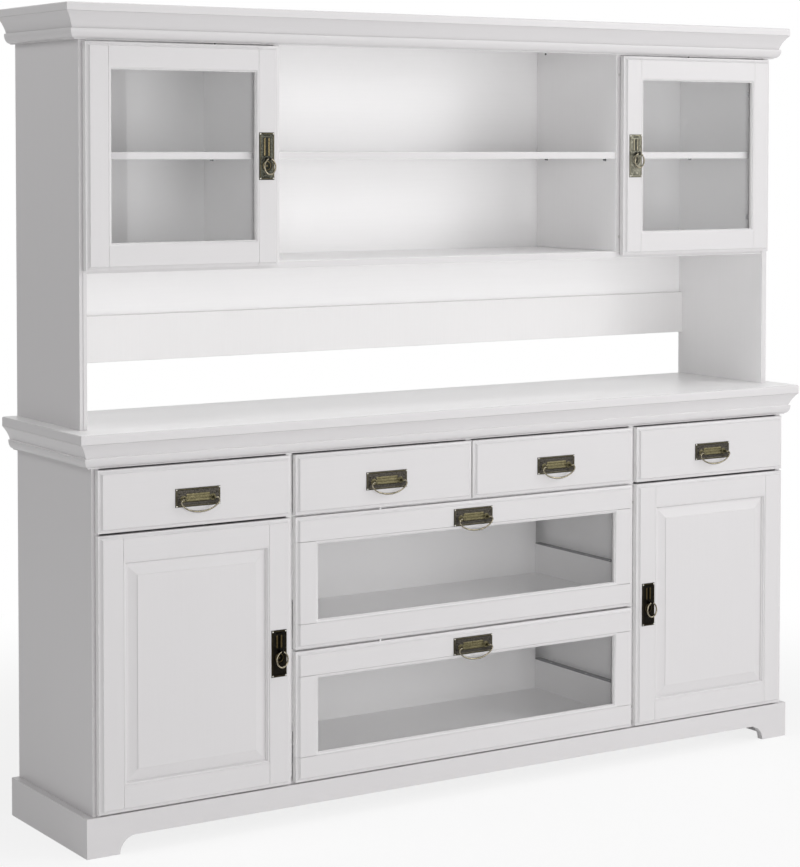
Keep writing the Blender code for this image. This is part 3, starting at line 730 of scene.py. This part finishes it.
# A drawer box of four boards with a bar for each runner: its finishes are the first four of drawerFinish
def drawerBox(x0, x1, y0, y1, low, floor, sideTop, backTop, barLow):
    side, sheet, barTop = boxLook["side"], runner["sheet"], barLow + runner["barHeight"]
    left, right = x0 + side + hairline, x1 - side - hairline
    parts = [board((x0, y0, low), (x0 + side, y1, sideTop)), board((x1 - side, y0, low), (x1, y1, sideTop)),
             (board((left, y1 - side, low), (right, y1, backTop)), 1),
             board((left, y0, low), (right, y1 - side - hairline, low + floor), 0.0004)]
    wheel = [(0, 0.0036), (0.0008, 0.0045), (0.0056, 0.0045), (0.0064, 0.0036)]
    for edge, way in ((x0, -1), (x1, 1)):
        near, far = edge + way * touch, edge + way * reach
        outline = [(near, barLow), (far, barLow), (far, barLow + sheet), (near + way * sheet, barLow + sheet),
                   (near + way * sheet, barTop), (near, barTop)]
        parts.append((prism(outline, "Y", carcassFront + runner["setBack"], y1, 0), 2))
        centre = (near + way * (sheet + 0.0006), y1 - 0.010, barLow + sheet + 0.0048)
        parts.append((turned(centre, (way, 0, 0), wheel), 3))
    return parts


drawerFinish = [white["Y"], white["X"], coated, nylon, paint["X"]]
bays = {"top_drawer_1": (-sideInner, -partitionOuter), "top_drawer_2": (-partitionInner, -thick / 2),
        "top_drawer_3": (thick / 2, partitionInner), "top_drawer_4": (partitionOuter, sideInner)}
for name, bay in bays.items():
    low, high = boxOf(name)
    boxLow = low.z + boxLook["smallLift"]
    boxTop = boxLow + boxLook["smallHeight"]
    left, right, back = bay[0] + runner["space"], bay[1] - runner["space"], low.y + frontDepth
    parts = drawerBox(left, right, back + hairline, high.y, boxLow, boxLook["smallFloor"], boxTop, boxTop,
                      smallRailTop + fit)
    parts.append((frontBoard(*frontOf(name), frontDepth), 4))
    # Faces that look sideways take the lighter copy of the paint, as painted light in the gaps
    piece(tagOf(name), parts, drawerFinish + [litPaint], name, [name], facing=(sideways, 5))
    z = low.z + stopLook["drawerZ"]
    makeStops(name, back, [(low.x + stopLook["drawerX"], z), (high.x - stopLook["drawerX"], z)])

# A folded steel cap covers the bar and the top of a glazed drawer's low side
capLook = {"in": 0.0116, "ends": 0.002, "thickness": 0.0012, "screws": (0.060, 0.165, 0.330)}
glassBoxX = partitionInner - runner["space"]
for name in glassDrawers:
    makeFrame(name, frameLook["drawerStile"], frameLook["drawerRail"], sightProfile, railsThrough=True)
    low, high = boxOf(f"{name}_box")
    parts = drawerBox(-glassBoxX, glassBoxX, low.y, high.y, low.z, boxLook["glassFloor"], capTops[name],
                      high.z, glassRailTops[name] + fit)
    top, out = capTops[name] + touch, glassBoxX + reach
    for side in (-1, 1):
        corner = (side * (glassBoxX - capLook["in"]), low.y + capLook["ends"], top)
        other = (side * out, high.y - capLook["ends"], top + capLook["thickness"])
        parts.append((board(corner, other, 0.0003, 1), 5))
    piece(f"{tagOf(name)}Box", parts, drawerFinish + [darkSteel], name, [f"{name}_box"])
print("doors and drawers made")


# Concealed hinges: a cup and flange on the door, an arm on the cabinet's side, and a link between them
hingeLook = {"inset": 0.095, "armWidth": 0.011, "armHeight": 0.017, "armLength": 0.058, "mount": 0.037,
             "cup": 0.0175, "cupAway": 0.0188, "flangeHeight": 0.052, "flangeWidth": 0.022, "plate": 0.0014,
             "sheet": 0.0012}
hingeScrews = {body: [] for body in (cabinet, *doors)}


def makeHinge(door, z, back, side, number):
    look = hingeLook
    wall = side * sideInner
    near, tall, sheet = wall - side * hair, look["armHeight"] / 2, look["sheet"]
    start, mount = back + 0.0006, back + look["mount"]
    face, far = near - side * look["plate"], near - side * look["armWidth"]
    parts = [board((near, mount - ahead, z - height), (face, mount + behind, z + height), 0.0005)
             for ahead, behind, height in ((0.011, 0.011, 0.026), (0.020, 0.018, 0.011))]
    inner = face - side * hair
    arm = [(inner, z - tall), (far, z - tall + 0.002), (far, z + tall - 0.002), (inner, z + tall),
           (inner, z + tall - sheet), (far + side * sheet, z + tall - sheet - 0.002),
           (far + side * sheet, z - tall + sheet + 0.002), (inner, z - tall + sheet)]
    parts.append(prism(arm, "Y", start + 0.006, back + look["armLength"], 0))
    nose = (far + side * sheet / 2, start + 0.0061, z + tall - 0.004)
    parts.append(board((far, start, z - tall + 0.004), nose, 0.0002, 1))
    piece(f"{door}HingeArm{number}", parts, steel, cabinet)
    for x, y, dz in ((face, mount, 0.019), (face, mount, -0.019), (far, mount - 0.004, 0)):
        hingeScrews[cabinet].append(((x, y, z + dz), (-side, 0, 0)))

    middle, radius = wall - side * look["cupAway"], look["cup"]
    rim = [(-0.0112, 0.0060), (-0.0112, 0.0012), (0, 0), (0.0006, 0), (0.0009, 0.0006), (0.0009, 0.0022),
           (-0.0010, 0.0030), (-0.0090, 0.0045), (-0.0105, 0.0080)]
    cup = [(along, radius - less) for along, less in rim]
    parts = [turned((middle, back - hair, z), (0, 1, 0), cup, 28)]
    high, wide = look["flangeHeight"] / 2, look["flangeWidth"] / 2
    for way in (-1, 1):
        corner = (middle - wide, back + touch, z + way * (radius + 0.0003))
        parts.append(board(corner, (middle + wide, back + 0.0010, z + way * high), 0.0003, 1))
        hingeScrews[door].append(((middle, back + 0.0010, z + way * (radius + 0.0048)), (0, 1, 0)))
    piece(f"{door}HingeCup{number}", parts, steel, door)

    first = Vector((far + side * 0.003, back + 0.0045, z))
    last = Vector((middle + side * 0.004, back - 0.0060, z))
    second, third = first + Vector((-side * 0.004, -0.0005, 0)), (first + last) / 2 + Vector((0, 0.0012, 0))
    line = smoothLine([first, second, third, last], 6)
    link = bar(line, [0.0014] * len(line), 10, side=Vector((0, 0, 1)))
    for vert in link.verts:
        vert.co.z = z + (vert.co.z - z) * 3.6
    made = piece(f"{door}HingeLink{number}", link, steel, None)
    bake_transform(made)


# Screws, nails and pins: one turned head, set by Geometry Nodes on every point of a row.
# Each profile is height and radius in shares of the head's radius, and how far a cross is cut into it
headLook = {
    "screw": [(-0.3, 0.80, 0), (0, 1, 0), (0.22, 0.97, 0), (0.44, 0.78, 0), (0.56, 0.52, 0),
              (0.57, 0.50, 0.50), (0.22, 0.42, 0.55), (0.18, 0.08, 0)],
    "dome": [(-0.3, 0.85, 0), (0, 1, 0), (0.28, 0.93, 0), (0.54, 0.70, 0), (0.70, 0.38, 0), (0.74, 0.08, 0)],
    "nail": [(-0.3, 0.40, 0), (-0.02, 0.42, 0), (0, 0.96, 0), (0.10, 1, 0), (0.22, 0.90, 0), (0.25, 0.08, 0)],
    "pin": [(-0.4, 0.92, 0), (0, 0.92, 0), (0.02, 1.30, 0), (0.5, 1.30, 0), (0.55, 1, 0), (3.0, 1, 0),
            (3.2, 0.85, 0), (3.25, 0.1, 0)],
}


def makeHead(kind, sides=16):
    loops = []
    for height, radius, cut in headLook[kind]:
        loop = []
        for a in around(sides):
            r = radius * (1 - cut * (0.5 - 0.5 * math.cos(4 * a)))
            loop.append((r * math.cos(a), r * math.sin(a), height))
        loops.append(loop)
    bm = skin(loops)
    bmesh.ops.recalc_face_normals(bm, faces=bm.faces)
    return shaped(kind, bm, 38)


# Points carry the way each head faces; its turn about that way and its size vary a little, from a fixed seed
def makeRowTree():
    tree = bpy.data.node_groups.new("headRow", "GeometryNodeTree")
    kinds = {"Geometry": "Geometry", "Head": "Object", "Radius": "Float", "Spread": "Float", "Seed": "Int",
             "Finish": "Material"}
    sockets = {}
    for label, kind in kinds.items():
        made = tree.interface.new_socket(name=label, in_out="INPUT", socket_type=f"NodeSocket{kind}")
        sockets[label] = made.identifier
    tree.interface.new_socket(name="Geometry", in_out="OUTPUT", socket_type="NodeSocketGeometry")
    wire = Wire(tree)
    entry = tree.nodes.new("NodeGroupInput")
    given = {label: Wire(tree, entry.outputs[label]) for label in sockets}
    vector = {"data_type": "FLOAT_VECTOR"}
    aim = wire.make("GeometryNodeInputNamedAttribute", vector, {"Name": "aim"}, "Attribute")
    facing = wire.make("FunctionNodeAlignRotationToVector", {"axis": "Z"}, {"Vector": aim})
    head = wire.make("GeometryNodeObjectInfo", None, {"Object": given["Head"]}, "Geometry")
    turn = wire.make("FunctionNodeRandomValue", {"data_type": "FLOAT"},
                     {2: 0.0, 3: 2 * math.pi, "Seed": given["Seed"]}, 1)
    vary = wire.make("FunctionNodeRandomValue", {"data_type": "FLOAT"},
                     {2: 1.0 - given["Spread"], 3: 1.0 + given["Spread"], "Seed": given["Seed"] + 1}, 1)
    scale = wire.make("ShaderNodeCombineXYZ", None, {axis: vary * given["Radius"] for axis in "XYZ"})
    spin = wire.make("ShaderNodeCombineXYZ", None, {"Z": turn})
    placed = wire.make("GeometryNodeInstanceOnPoints", None,
                       {"Points": given["Geometry"], "Instance": head, "Rotation": facing, "Scale": scale})
    spun = wire.make("GeometryNodeRotateInstances", None, {"Instances": placed, "Rotation": spin})
    real = wire.make("GeometryNodeRealizeInstances", None, {"Geometry": spun})
    done = wire.make("GeometryNodeSetMaterial", None, {"Geometry": real, "Material": given["Finish"]})
    leave = tree.nodes.new("NodeGroupOutput")
    tree.links.new(done.socket, leave.inputs[0])
    return tree, sockets


screwLook = {"door": 0.0032, "cabinet": 0.0034, "runner": 0.0022, "cap": 0.0030, "plate": 0.0021}
heads = {kind: makeHead(kind) for kind in headLook}
rowTree, rowSockets = makeRowTree()


# One row: places are pairs of a point and the way that its head faces
def makeRow(name, kind, radius, places, finish, body, seed, spread=0.03):
    mesh = bpy.data.meshes.new(name)
    mesh.from_pydata([place for place, aim in places], [], [])
    aims = mesh.attributes.new("aim", "FLOAT_VECTOR", "POINT").data
    aims.foreach_set("vector", [part for place, aim in places for part in aim])
    made = linked(name, mesh)
    row = made.modifiers.new("row", "NODES")
    row.node_group = rowTree
    values = {"Head": heads[kind], "Radius": radius, "Spread": spread, "Seed": seed, "Finish": finish}
    for label, value in values.items():
        row[rowSockets[label]] = value
    applyModifiers(made)
    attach(made, body)


for name in doors:
    low, high = boxOf(f"{name}_frame")
    for number, z in enumerate((low.z + hingeLook["inset"], high.z - hingeLook["inset"]), 1):
        makeHinge(name, z, high.y, -1 if "left" in name else 1, number)
    makeRow(f"{name}HingeScrews", "screw", screwLook["door"], hingeScrews[name], steel, name, 5)
makeRow("hingeScrewsCabinet", "screw", screwLook["cabinet"], hingeScrews[cabinet], steel, cabinet, 3)
print("hinges made")

# Shelf pins, two in each upright under every shelf
pinLook = {"radius": 0.0025, "fromFront": 0.045, "fromBack": 0.050}
places = []
for word in ("hutch_left", "hutch_middle", "hutch_right", "lower_left", "lower_right"):
    low, high = boxOf(f"{word}_shelf")
    z = low.z - 1.3 * pinLook["radius"] - hair
    ends = low.y + pinLook["fromFront"], high.y - pinLook["fromBack"]
    for x, way in ((low.x - fit, 1), (high.x + fit, -1)):
        places += [((x, y, z), (way, 0, 0)) for y in ends]
makeRow("shelfPins", "pin", pinLook["radius"], places, darkSteel, cabinet, 7, 0.0)

# Nails round the back panels, and along the partitions
nailLook = {"radius": 0.0032, "step": 0.115, "inset": 0.009}
places = []
for node in backPanels:
    low, high = boxOf(node)
    x0, x1 = low.x + nailLook["inset"], high.x - nailLook["inset"]
    z0, z1 = low.z + nailLook["inset"], high.z - nailLook["inset"]
    rear, middle = high.y - backLook["nailHead"], (partitionInner + partitionOuter) / 2
    across, up = round((x1 - x0) / nailLook["step"]), round((z1 - z0) / nailLook["step"])
    for i in range(across + 1):
        places += [((x0 + (x1 - x0) * i / across, rear, z), (0, 1, 0)) for z in (z0, z1)]
    for j in range(1, up):
        places += [((x, rear, z0 + (z1 - z0) * j / up), (0, 1, 0)) for x in (x0, -middle, middle, x1)]
makeRow("backNails", "nail", nailLook["radius"], places, steel, cabinet, 11)

# Screws through the runners and into the drawer boxes' caps
places = []
for side in (-1, 1):
    for x, way in ((sideInner, -side), (partitionOuter, side), (partitionInner, -side), (thick / 2, side)):
        tops = [smallRailTop] + (list(glassRailTops.values()) if x == partitionInner else [])
        for top in tops:
            for y in runner["screws"]:
                out = side * x + way * (runner["sheet"] + hair)
                places.append(((out, carcassFront + y, top - runner["railHeight"] / 2), (way, 0, 0)))
makeRow("runnerScrews", "screw", screwLook["runner"], places, steel, cabinet, 13)
for name in glassDrawers:
    front, top = boxOf(f"{name}_box")[0].y, capTops[name] + touch + capLook["thickness"]
    x = glassBoxX - capLook["in"] / 2
    places = [((way * x, front + y, top), (0, 0, 1)) for way in (-1, 1) for y in capLook["screws"]]
    makeRow(f"{name}CapScrews", "screw", screwLook["cap"], places, steel, name, 17)

# White pegs on top of the glazed drawers keep the fronts apart; dark pins stand over the hutch doors
pegLook = {"x": -0.2749, "height": 0.0050, "radius": 0.0029, "back": 0.0094}
for name in glassDrawers:
    low, high = boxOf(f"{name}_frame")
    height, radius = pegLook["height"], pegLook["radius"]
    peg = turned((pegLook["x"], low.y + pegLook["back"], high.z - 0.0004), (0, 0, 1),
                 [(0, radius), (height - 0.0004, radius), (height, radius * 0.8)])
    piece(f"{name}Peg", peg, white["Z"], name)
dowelLook = {"radius": 0.0028, "places": ((-0.698, 1.9126), (0.283, 1.9110), (0.767, 1.9133))}
places = [((x, hutchFront - hair, z), (0, -1, 0)) for x, z in dowelLook["places"]]
makeRow("corniceDowels", "dome", dowelLook["radius"], places, darkPlastic, cabinet, 19)
print("screws, pins and nails made")


# Handles

drawerPlateLook = {"width": 0.120, "height": 0.046, "across": 132, "up": 52, "post": 0.039, "pinInset": 0.0032,
                   "seed": 23}
doorPlateLook = {"width": 0.043, "height": 0.116, "across": 52, "up": 132, "pinInset": 0.0036, "seed": 29}


def ridge(distance, width):
    share = min(1.0, abs(distance) / width)
    return 0.5 * (1 + math.cos(math.pi * share))


def plateau(distance, flat, edge):
    return ridge(max(0.0, abs(distance) - flat), edge)


# Height of the stamped drawer plate over its back, in millimetres, at u and v from its middle
def drawerRelief(u, v):
    edge = min(60 - abs(u), 23 - abs(v))
    height = 0.9 + 0.5 * min(1.0, edge)
    height += 0.65 * ridge(edge - 3.2, 1.7) - 0.25 * ridge(edge - 6.0, 1.2)
    bed = plateau(u, 30, 2.5) * plateau(v + 0.5, 8.6, 2.2)
    height += bed * (0.75 - 0.30 * ridge(v + 4.2, 1.1) - 0.30 * ridge(v - 3.2, 1.1))
    for side in (-1, 1):
        away = math.hypot(u - side * 39, v + 3)
        height += (0.8 - 0.35 * ridge(away - 5.6, 1.2)) * plateau(away, 7.4, 1.4) * (1 - bed)
        height += 0.5 * ridge(math.hypot(abs(u) - 50, (v - side * 9) * 1.3), 3.2)
    return min(2.48, height)


# The same for the upright door plate; eye is the height of the ring's eye over the middle
def ringPlateRelief(u, v, eye):
    edge = min(21.5 - abs(u), 58 - abs(v))
    height = 0.9 + 0.5 * min(1.0, edge)
    height += 0.65 * ridge(edge - 3.0, 1.6) - 0.25 * ridge(edge - 5.6, 1.1)
    low, high = eye + 8, 44
    bed = plateau(u, 9.6, 1.4) * plateau(v - (low + high) / 2, (high - low) / 2, 2.2)
    height += bed * (0.20 + 0.75 * ridge(abs(u) - 6.0, 3.6))
    away = math.hypot(u, v - (eye - 17))
    # The collar round the ring's post is kept low, in the brass's band of painted shade
    height += 0.22 * plateau(away, 13.5, 1.8) + 0.55 * ridge(away - 10.5, 1.5) + 0.55 * ridge(away, 4.5)
    for end in (-1, 1):
        height += 0.45 * plateau(u, 8, 2) * ridge(v - end * 51.5, 2.6)
    return min(2.48, height)


# A stamped plate: a fine grid for its face, a rim down to the back, the extras that stand on it, and a pin in
# each corner. The relief is kept as an attribute; standing is that of the extras
def stampedPlate(body, centre, look, relief, finish, extras, standing=0.75):
    across, up, wide, tall = look["across"], look["up"], look["width"], look["height"]
    bm = bmesh.new()
    store = bm.verts.layers.float.new("relief")
    rows = []
    for j in range(up + 1):
        row = []
        for i in range(across + 1):
            u, v = (i / across - 0.5) * wide, (j / up - 0.5) * tall
            height = relief(u * 1000, v * 1000)
            trim = 0.0009 if min(i, across - i, j, up - j) == 0 else 0
            x, z = centre.x + u * (1 - 2 * trim / wide), centre.z + v * (1 - 2 * trim / tall)
            vert = bm.verts.new((x, centre.y - height / 1000 + (0.0004 if trim else 0), z))
            vert[store] = min(1.0, max(0.0, (height - 1.0) / 1.3))
            row.append(vert)
        rows.append(row)
    for lower, upper in zip(rows, rows[1:]):
        for i in range(across):
            bm.faces.new((lower[i], lower[i + 1], upper[i + 1], upper[i]))
    border = rows[0][:-1] + [row[-1] for row in rows[:-1]] + rows[-1][:0:-1] + [row[0] for row in rows[:0:-1]]
    rear = []
    for vert in border:
        u, v = vert.co.x - centre.x, vert.co.z - centre.z
        rear.append(bm.verts.new((centre.x + math.copysign(min(abs(u) * 1.02, wide / 2), u), centre.y,
                                  centre.z + math.copysign(min(abs(v) * 1.02, tall / 2), v))))
    for i in range(len(border)):
        j = (i + 1) % len(border)
        bm.faces.new((border[i], rear[i], rear[j], border[j]))
    bm.faces.new(rear)
    for part in extras:
        layer = part.verts.layers.float.new("relief")
        for vert in part.verts:
            vert[layer] = standing
    piece(f"{tagOf(body)}Plate", [bm] + extras, finish, body, [f"{body}_plate"], 50)
    x, z = wide / 2 - look["pinInset"], tall / 2 - look["pinInset"]
    places = [((centre.x + sx * x, centre.y - 0.0019, centre.z + sz * z), (0, -1, 0))
              for sx in (-1, 1) for sz in (-1, 1)]
    makeRow(f"{tagOf(body)}PlatePins", "dome", screwLook["plate"], places, pinBrass, body, look["seed"])


bailLook = {"start": 0.0423, "span": 0.0503, "deep": 0.0306, "wire": 0.0018}
bailShape = [(1, -0.16), (0.98, -0.35), (0.83, -0.61), (0.60, -0.82), (0.30, -0.96), (0, -1)]


# One bail: out of the post's ball, round a bend, and down to a shallow bow
def bailLine(pivot):
    start, span, deep = bailLook["start"], bailLook["span"], bailLook["deep"]
    shape = [(start, 0), ((start + span) / 2, 0)] + [(out * span, down * deep) for out, down in bailShape]
    halfLine = [pivot + Vector((x, 0, z)) for x, z in shape]
    mirrored = [Vector((2 * pivot.x - point.x, point.y, point.z)) for point in reversed(halfLine[:-1])]
    return smoothLine(halfLine + mirrored, 6)


# The hanging part of a handle, and the point that it hangs from
def hang(name, kind, line, radii, sides, ring=False):
    piece(f"{tagOf(name)}{kind.title()}", bar(line, radii, sides, ring), ringBrass, f"{name}_{kind}",
          [f"{name}_{kind}"], 50)


def pivotOf(name, kind, x, wire):
    low, high = boxOf(f"{name}_{kind}")
    return Vector((x, (low.y + high.y) / 2, high.z - wire))


for name in smallDrawers + glassDrawers:
    low, high = boxOf(f"{name}_plate")
    pivot = pivotOf(name, "bail", (low.x + high.x) / 2, 0.0017)
    face = high.y - 0.0022
    far = face - pivot.y
    profile = [(-0.0006, 0.0052), (0.0004, 0.0050), (0.0012, 0.0036), (0.0026, 0.0026), (far - 0.0048, 0.0024),
               (far - 0.0036, 0.0030), (far - 0.0022, 0.0036), (far, 0.0039), (far + 0.0017, 0.0033),
               (far + 0.0028, 0.0021), (far + 0.0033, 0.0007)]
    posts = [turned((pivot.x + side * drawerPlateLook["post"], face, pivot.z), (0, -1, 0), profile, 20)
             for side in (-1, 1)]
    centre = Vector((pivot.x, high.y, pivot.z + 0.003))
    stampedPlate(name, centre, drawerPlateLook, drawerRelief, plateBrass, posts)
    line = bailLine(pivot)
    shares = [abs(point.x - pivot.x) / bailLook["span"] for point in line]
    radii = [bailLook["wire"] + 0.0006 * plateau(share, 0.12, 0.62) + 0.0003 * ridge(share - 0.22, 0.03)
             for share in shares]
    hang(name, "bail", line, radii, 12)

# The ring is an oval; its radii are those of the middle of its wire, which is thicker at the bottom
ringLook = {"across": 0.0152, "up": 0.0190, "wire": 0.0018, "more": 0.0004, "lug": 0.00355, "lugWire": 0.00095,
            "lugWidth": 2.6}
# Each door's plate takes a darker or paler copy of the brass: painted light and shade, with the lower doors
# darkest
doorBrassByLight = {"hutch_right_door": litDoorBrass, "hutch_left_door": halfLitDoorBrass}
for name in doors:
    low, high = boxOf(f"{name}_plate")
    pivot = pivotOf(name, "ring", (low.x + high.x) / 2, 0.002)
    centre = Vector((pivot.x, high.y, (low.z + high.z) / 2))
    eye, face = (pivot.z - centre.z) * 1000, high.y - 0.0021
    profile = [(-0.0006, 0.0050), (0.0005, 0.0048), (0.0014, 0.0033), (0.0026, 0.0022),
               (face - pivot.y - 0.0030, 0.0021)]
    stem = turned((pivot.x, face, pivot.z), (0, -1, 0), profile, 18)
    loop = [pivot + Vector((0, math.cos(a), math.sin(a))) * ringLook["lug"] for a in around(28)]
    lug = bar(loop, [ringLook["lugWire"]] * len(loop), 10, True, Vector((1, 0, 0)))
    for vert in lug.verts:                                   # the lug is a flat band, wider than it is thick
        vert.co.x = pivot.x + (vert.co.x - pivot.x) * ringLook["lugWidth"]
    # The stem and the lug stand at 0.46, in the brass's band of painted shade round the ring's eye
    stampedPlate(name, centre, doorPlateLook, lambda u, v: ringPlateRelief(u, v, eye),
                 doorBrassByLight.get(name, shadedDoorBrass), [stem, lug], 0.46)
    hub = pivot - Vector((0, 0, ringLook["up"]))
    across, up = ringLook["across"], ringLook["up"]
    line = [hub + Vector((across * math.sin(a), 0, up * math.cos(a))) for a in around(72)]
    radii = [ringLook["wire"] + ringLook["more"] * (1 - math.cos(a)) / 2 for a in around(72)]
    hang(name, "ring", line, radii, 14, True)
print("handles made")


# Floor, lights and camera

floorLook = {"size": 40.0, "colour": (0.93, 0.93, 0.93), "white": 0.80, "near": 1.2, "far": 2.6}


# 1 for what the camera sees, directly, in a mirror or through glass
def seenShare(wire):
    words = ("Camera", "Transmission", "Glossy")
    path = [wire.make("ShaderNodeLightPath", out=f"Is {word} Ray") for word in words]
    return wire.sum("MINIMUM", path[0] + path[1] + path[2], 1.0)


def makeStage():
    bm = bmesh.new()
    bmesh.ops.create_grid(bm, x_segments=8, y_segments=8, size=floorLook["size"] / 2)
    for vert in bm.verts:
        vert.co.z = -0.0005
    floor = shaped("studioFloor", bm, 30)
    made, wire, place, shader = newMaterial("paleFloor")
    away = wire.make("ShaderNodeVectorMath", {"operation": "LENGTH"}, {0: place}, "Value")
    far = away.step(floorLook["near"], floorLook["far"])
    shade = wire.make("ShaderNodeBsdfDiffuse", None, {"Color": (*floorLook["colour"], 1.0)})
    bright = wire.make("ShaderNodeEmission", None, {"Color": (1.0, 1.0, 1.0, 1.0), "Strength": 1.0})
    share = seenShare(wire) * (far * (1 - floorLook["white"]) + floorLook["white"])
    mixed = wire.make("ShaderNodeMixShader", None, {0: share, 1: shade, 2: bright})
    wire.tree.links.new(mixed.socket, wire.tree.nodes["Material Output"].inputs["Surface"])
    floor.data.materials.append(made)

    world = bpy.data.worlds.new("studioWorld")
    bpy.context.scene.world = world
    world.use_nodes = True
    tree = world.node_tree
    strength = seenShare(Wire(tree)) * (1.0 - lightLook["world"]) + lightLook["world"]
    back = tree.nodes["Background"]
    back.inputs["Color"].default_value = (1.0, 1.0, 1.0, 1.0)
    tree.links.new(strength.socket, back.inputs["Strength"])


# Each lamp's place, the point that it faces, its size and its power
lightLook = {
    "world": 0.262,
    "lamps": {
        "rightKey": ((4.2, -3.9, 3.5), (0.1, 0.0, 1.0), 2.4, 84),
        "rightPanel": ((3.3, -5.1, 1.7), (0.2, 0.0, 1.3), 3.4, 60),
        "overhead": ((0.1, -0.7, 5.2), (0.0, -0.1, 1.0), 2.0, 52),
        "lowKey": ((0.1, -5.2, 1.0), (0.1, 0.0, 0.9), 1.8, 49),
        "cameraFill": ((-3.2, -5.4, 2.2), (0.0, 0.0, 1.1), 2.0, 36),
        "leftHigh": ((-4.2, 0.25, 4.0), (-1.1, 0.0, 1.7), 1.6, 28),
    },
}


def makeLamp(name, place, aim, size, power):
    lamp = bpy.data.lights.new(name, "AREA")
    lamp.shape = "SQUARE"
    lamp.size = size
    lamp.energy = power
    made = linked(name, lamp)
    made.location = place
    made.rotation_mode = "QUATERNION"
    made.rotation_quaternion = (Vector(aim) - Vector(place)).to_track_quat("-Z", "Y")


cameraLook = {"place": (-3.3635, -5.2357, 1.6682), "yaw": 33.4954, "pitch": -2.3993, "roll": -0.1150,
              "lens": 106.437, "shift": (-0.0750, -0.2356)}


# Yaw turns from +Y towards +X, all in degrees
def makeCamera():
    lens = bpy.data.cameras.new("photoCamera")
    lens.sensor_fit = "HORIZONTAL"
    lens.sensor_width = 36
    lens.lens = cameraLook["lens"]
    lens.shift_x, lens.shift_y = cameraLook["shift"]
    made = linked("photoCamera", lens)
    place = Matrix.Translation(cameraLook["place"])
    for axis, turn in (("Z", -cameraLook["yaw"]), ("X", 90 + cameraLook["pitch"]), ("Z", -cameraLook["roll"])):
        place = place @ Matrix.Rotation(math.radians(turn), 4, axis)
    made.matrix_world = place
    bpy.context.scene.camera = made


makeStage()
for name, look in lightLook["lamps"].items():
    makeLamp(name, *look)
makeCamera()
bpy.context.scene.view_settings.view_transform = "Standard"
print("floor, lights and camera made")

for head in heads.values():
    bpy.data.objects.remove(head)
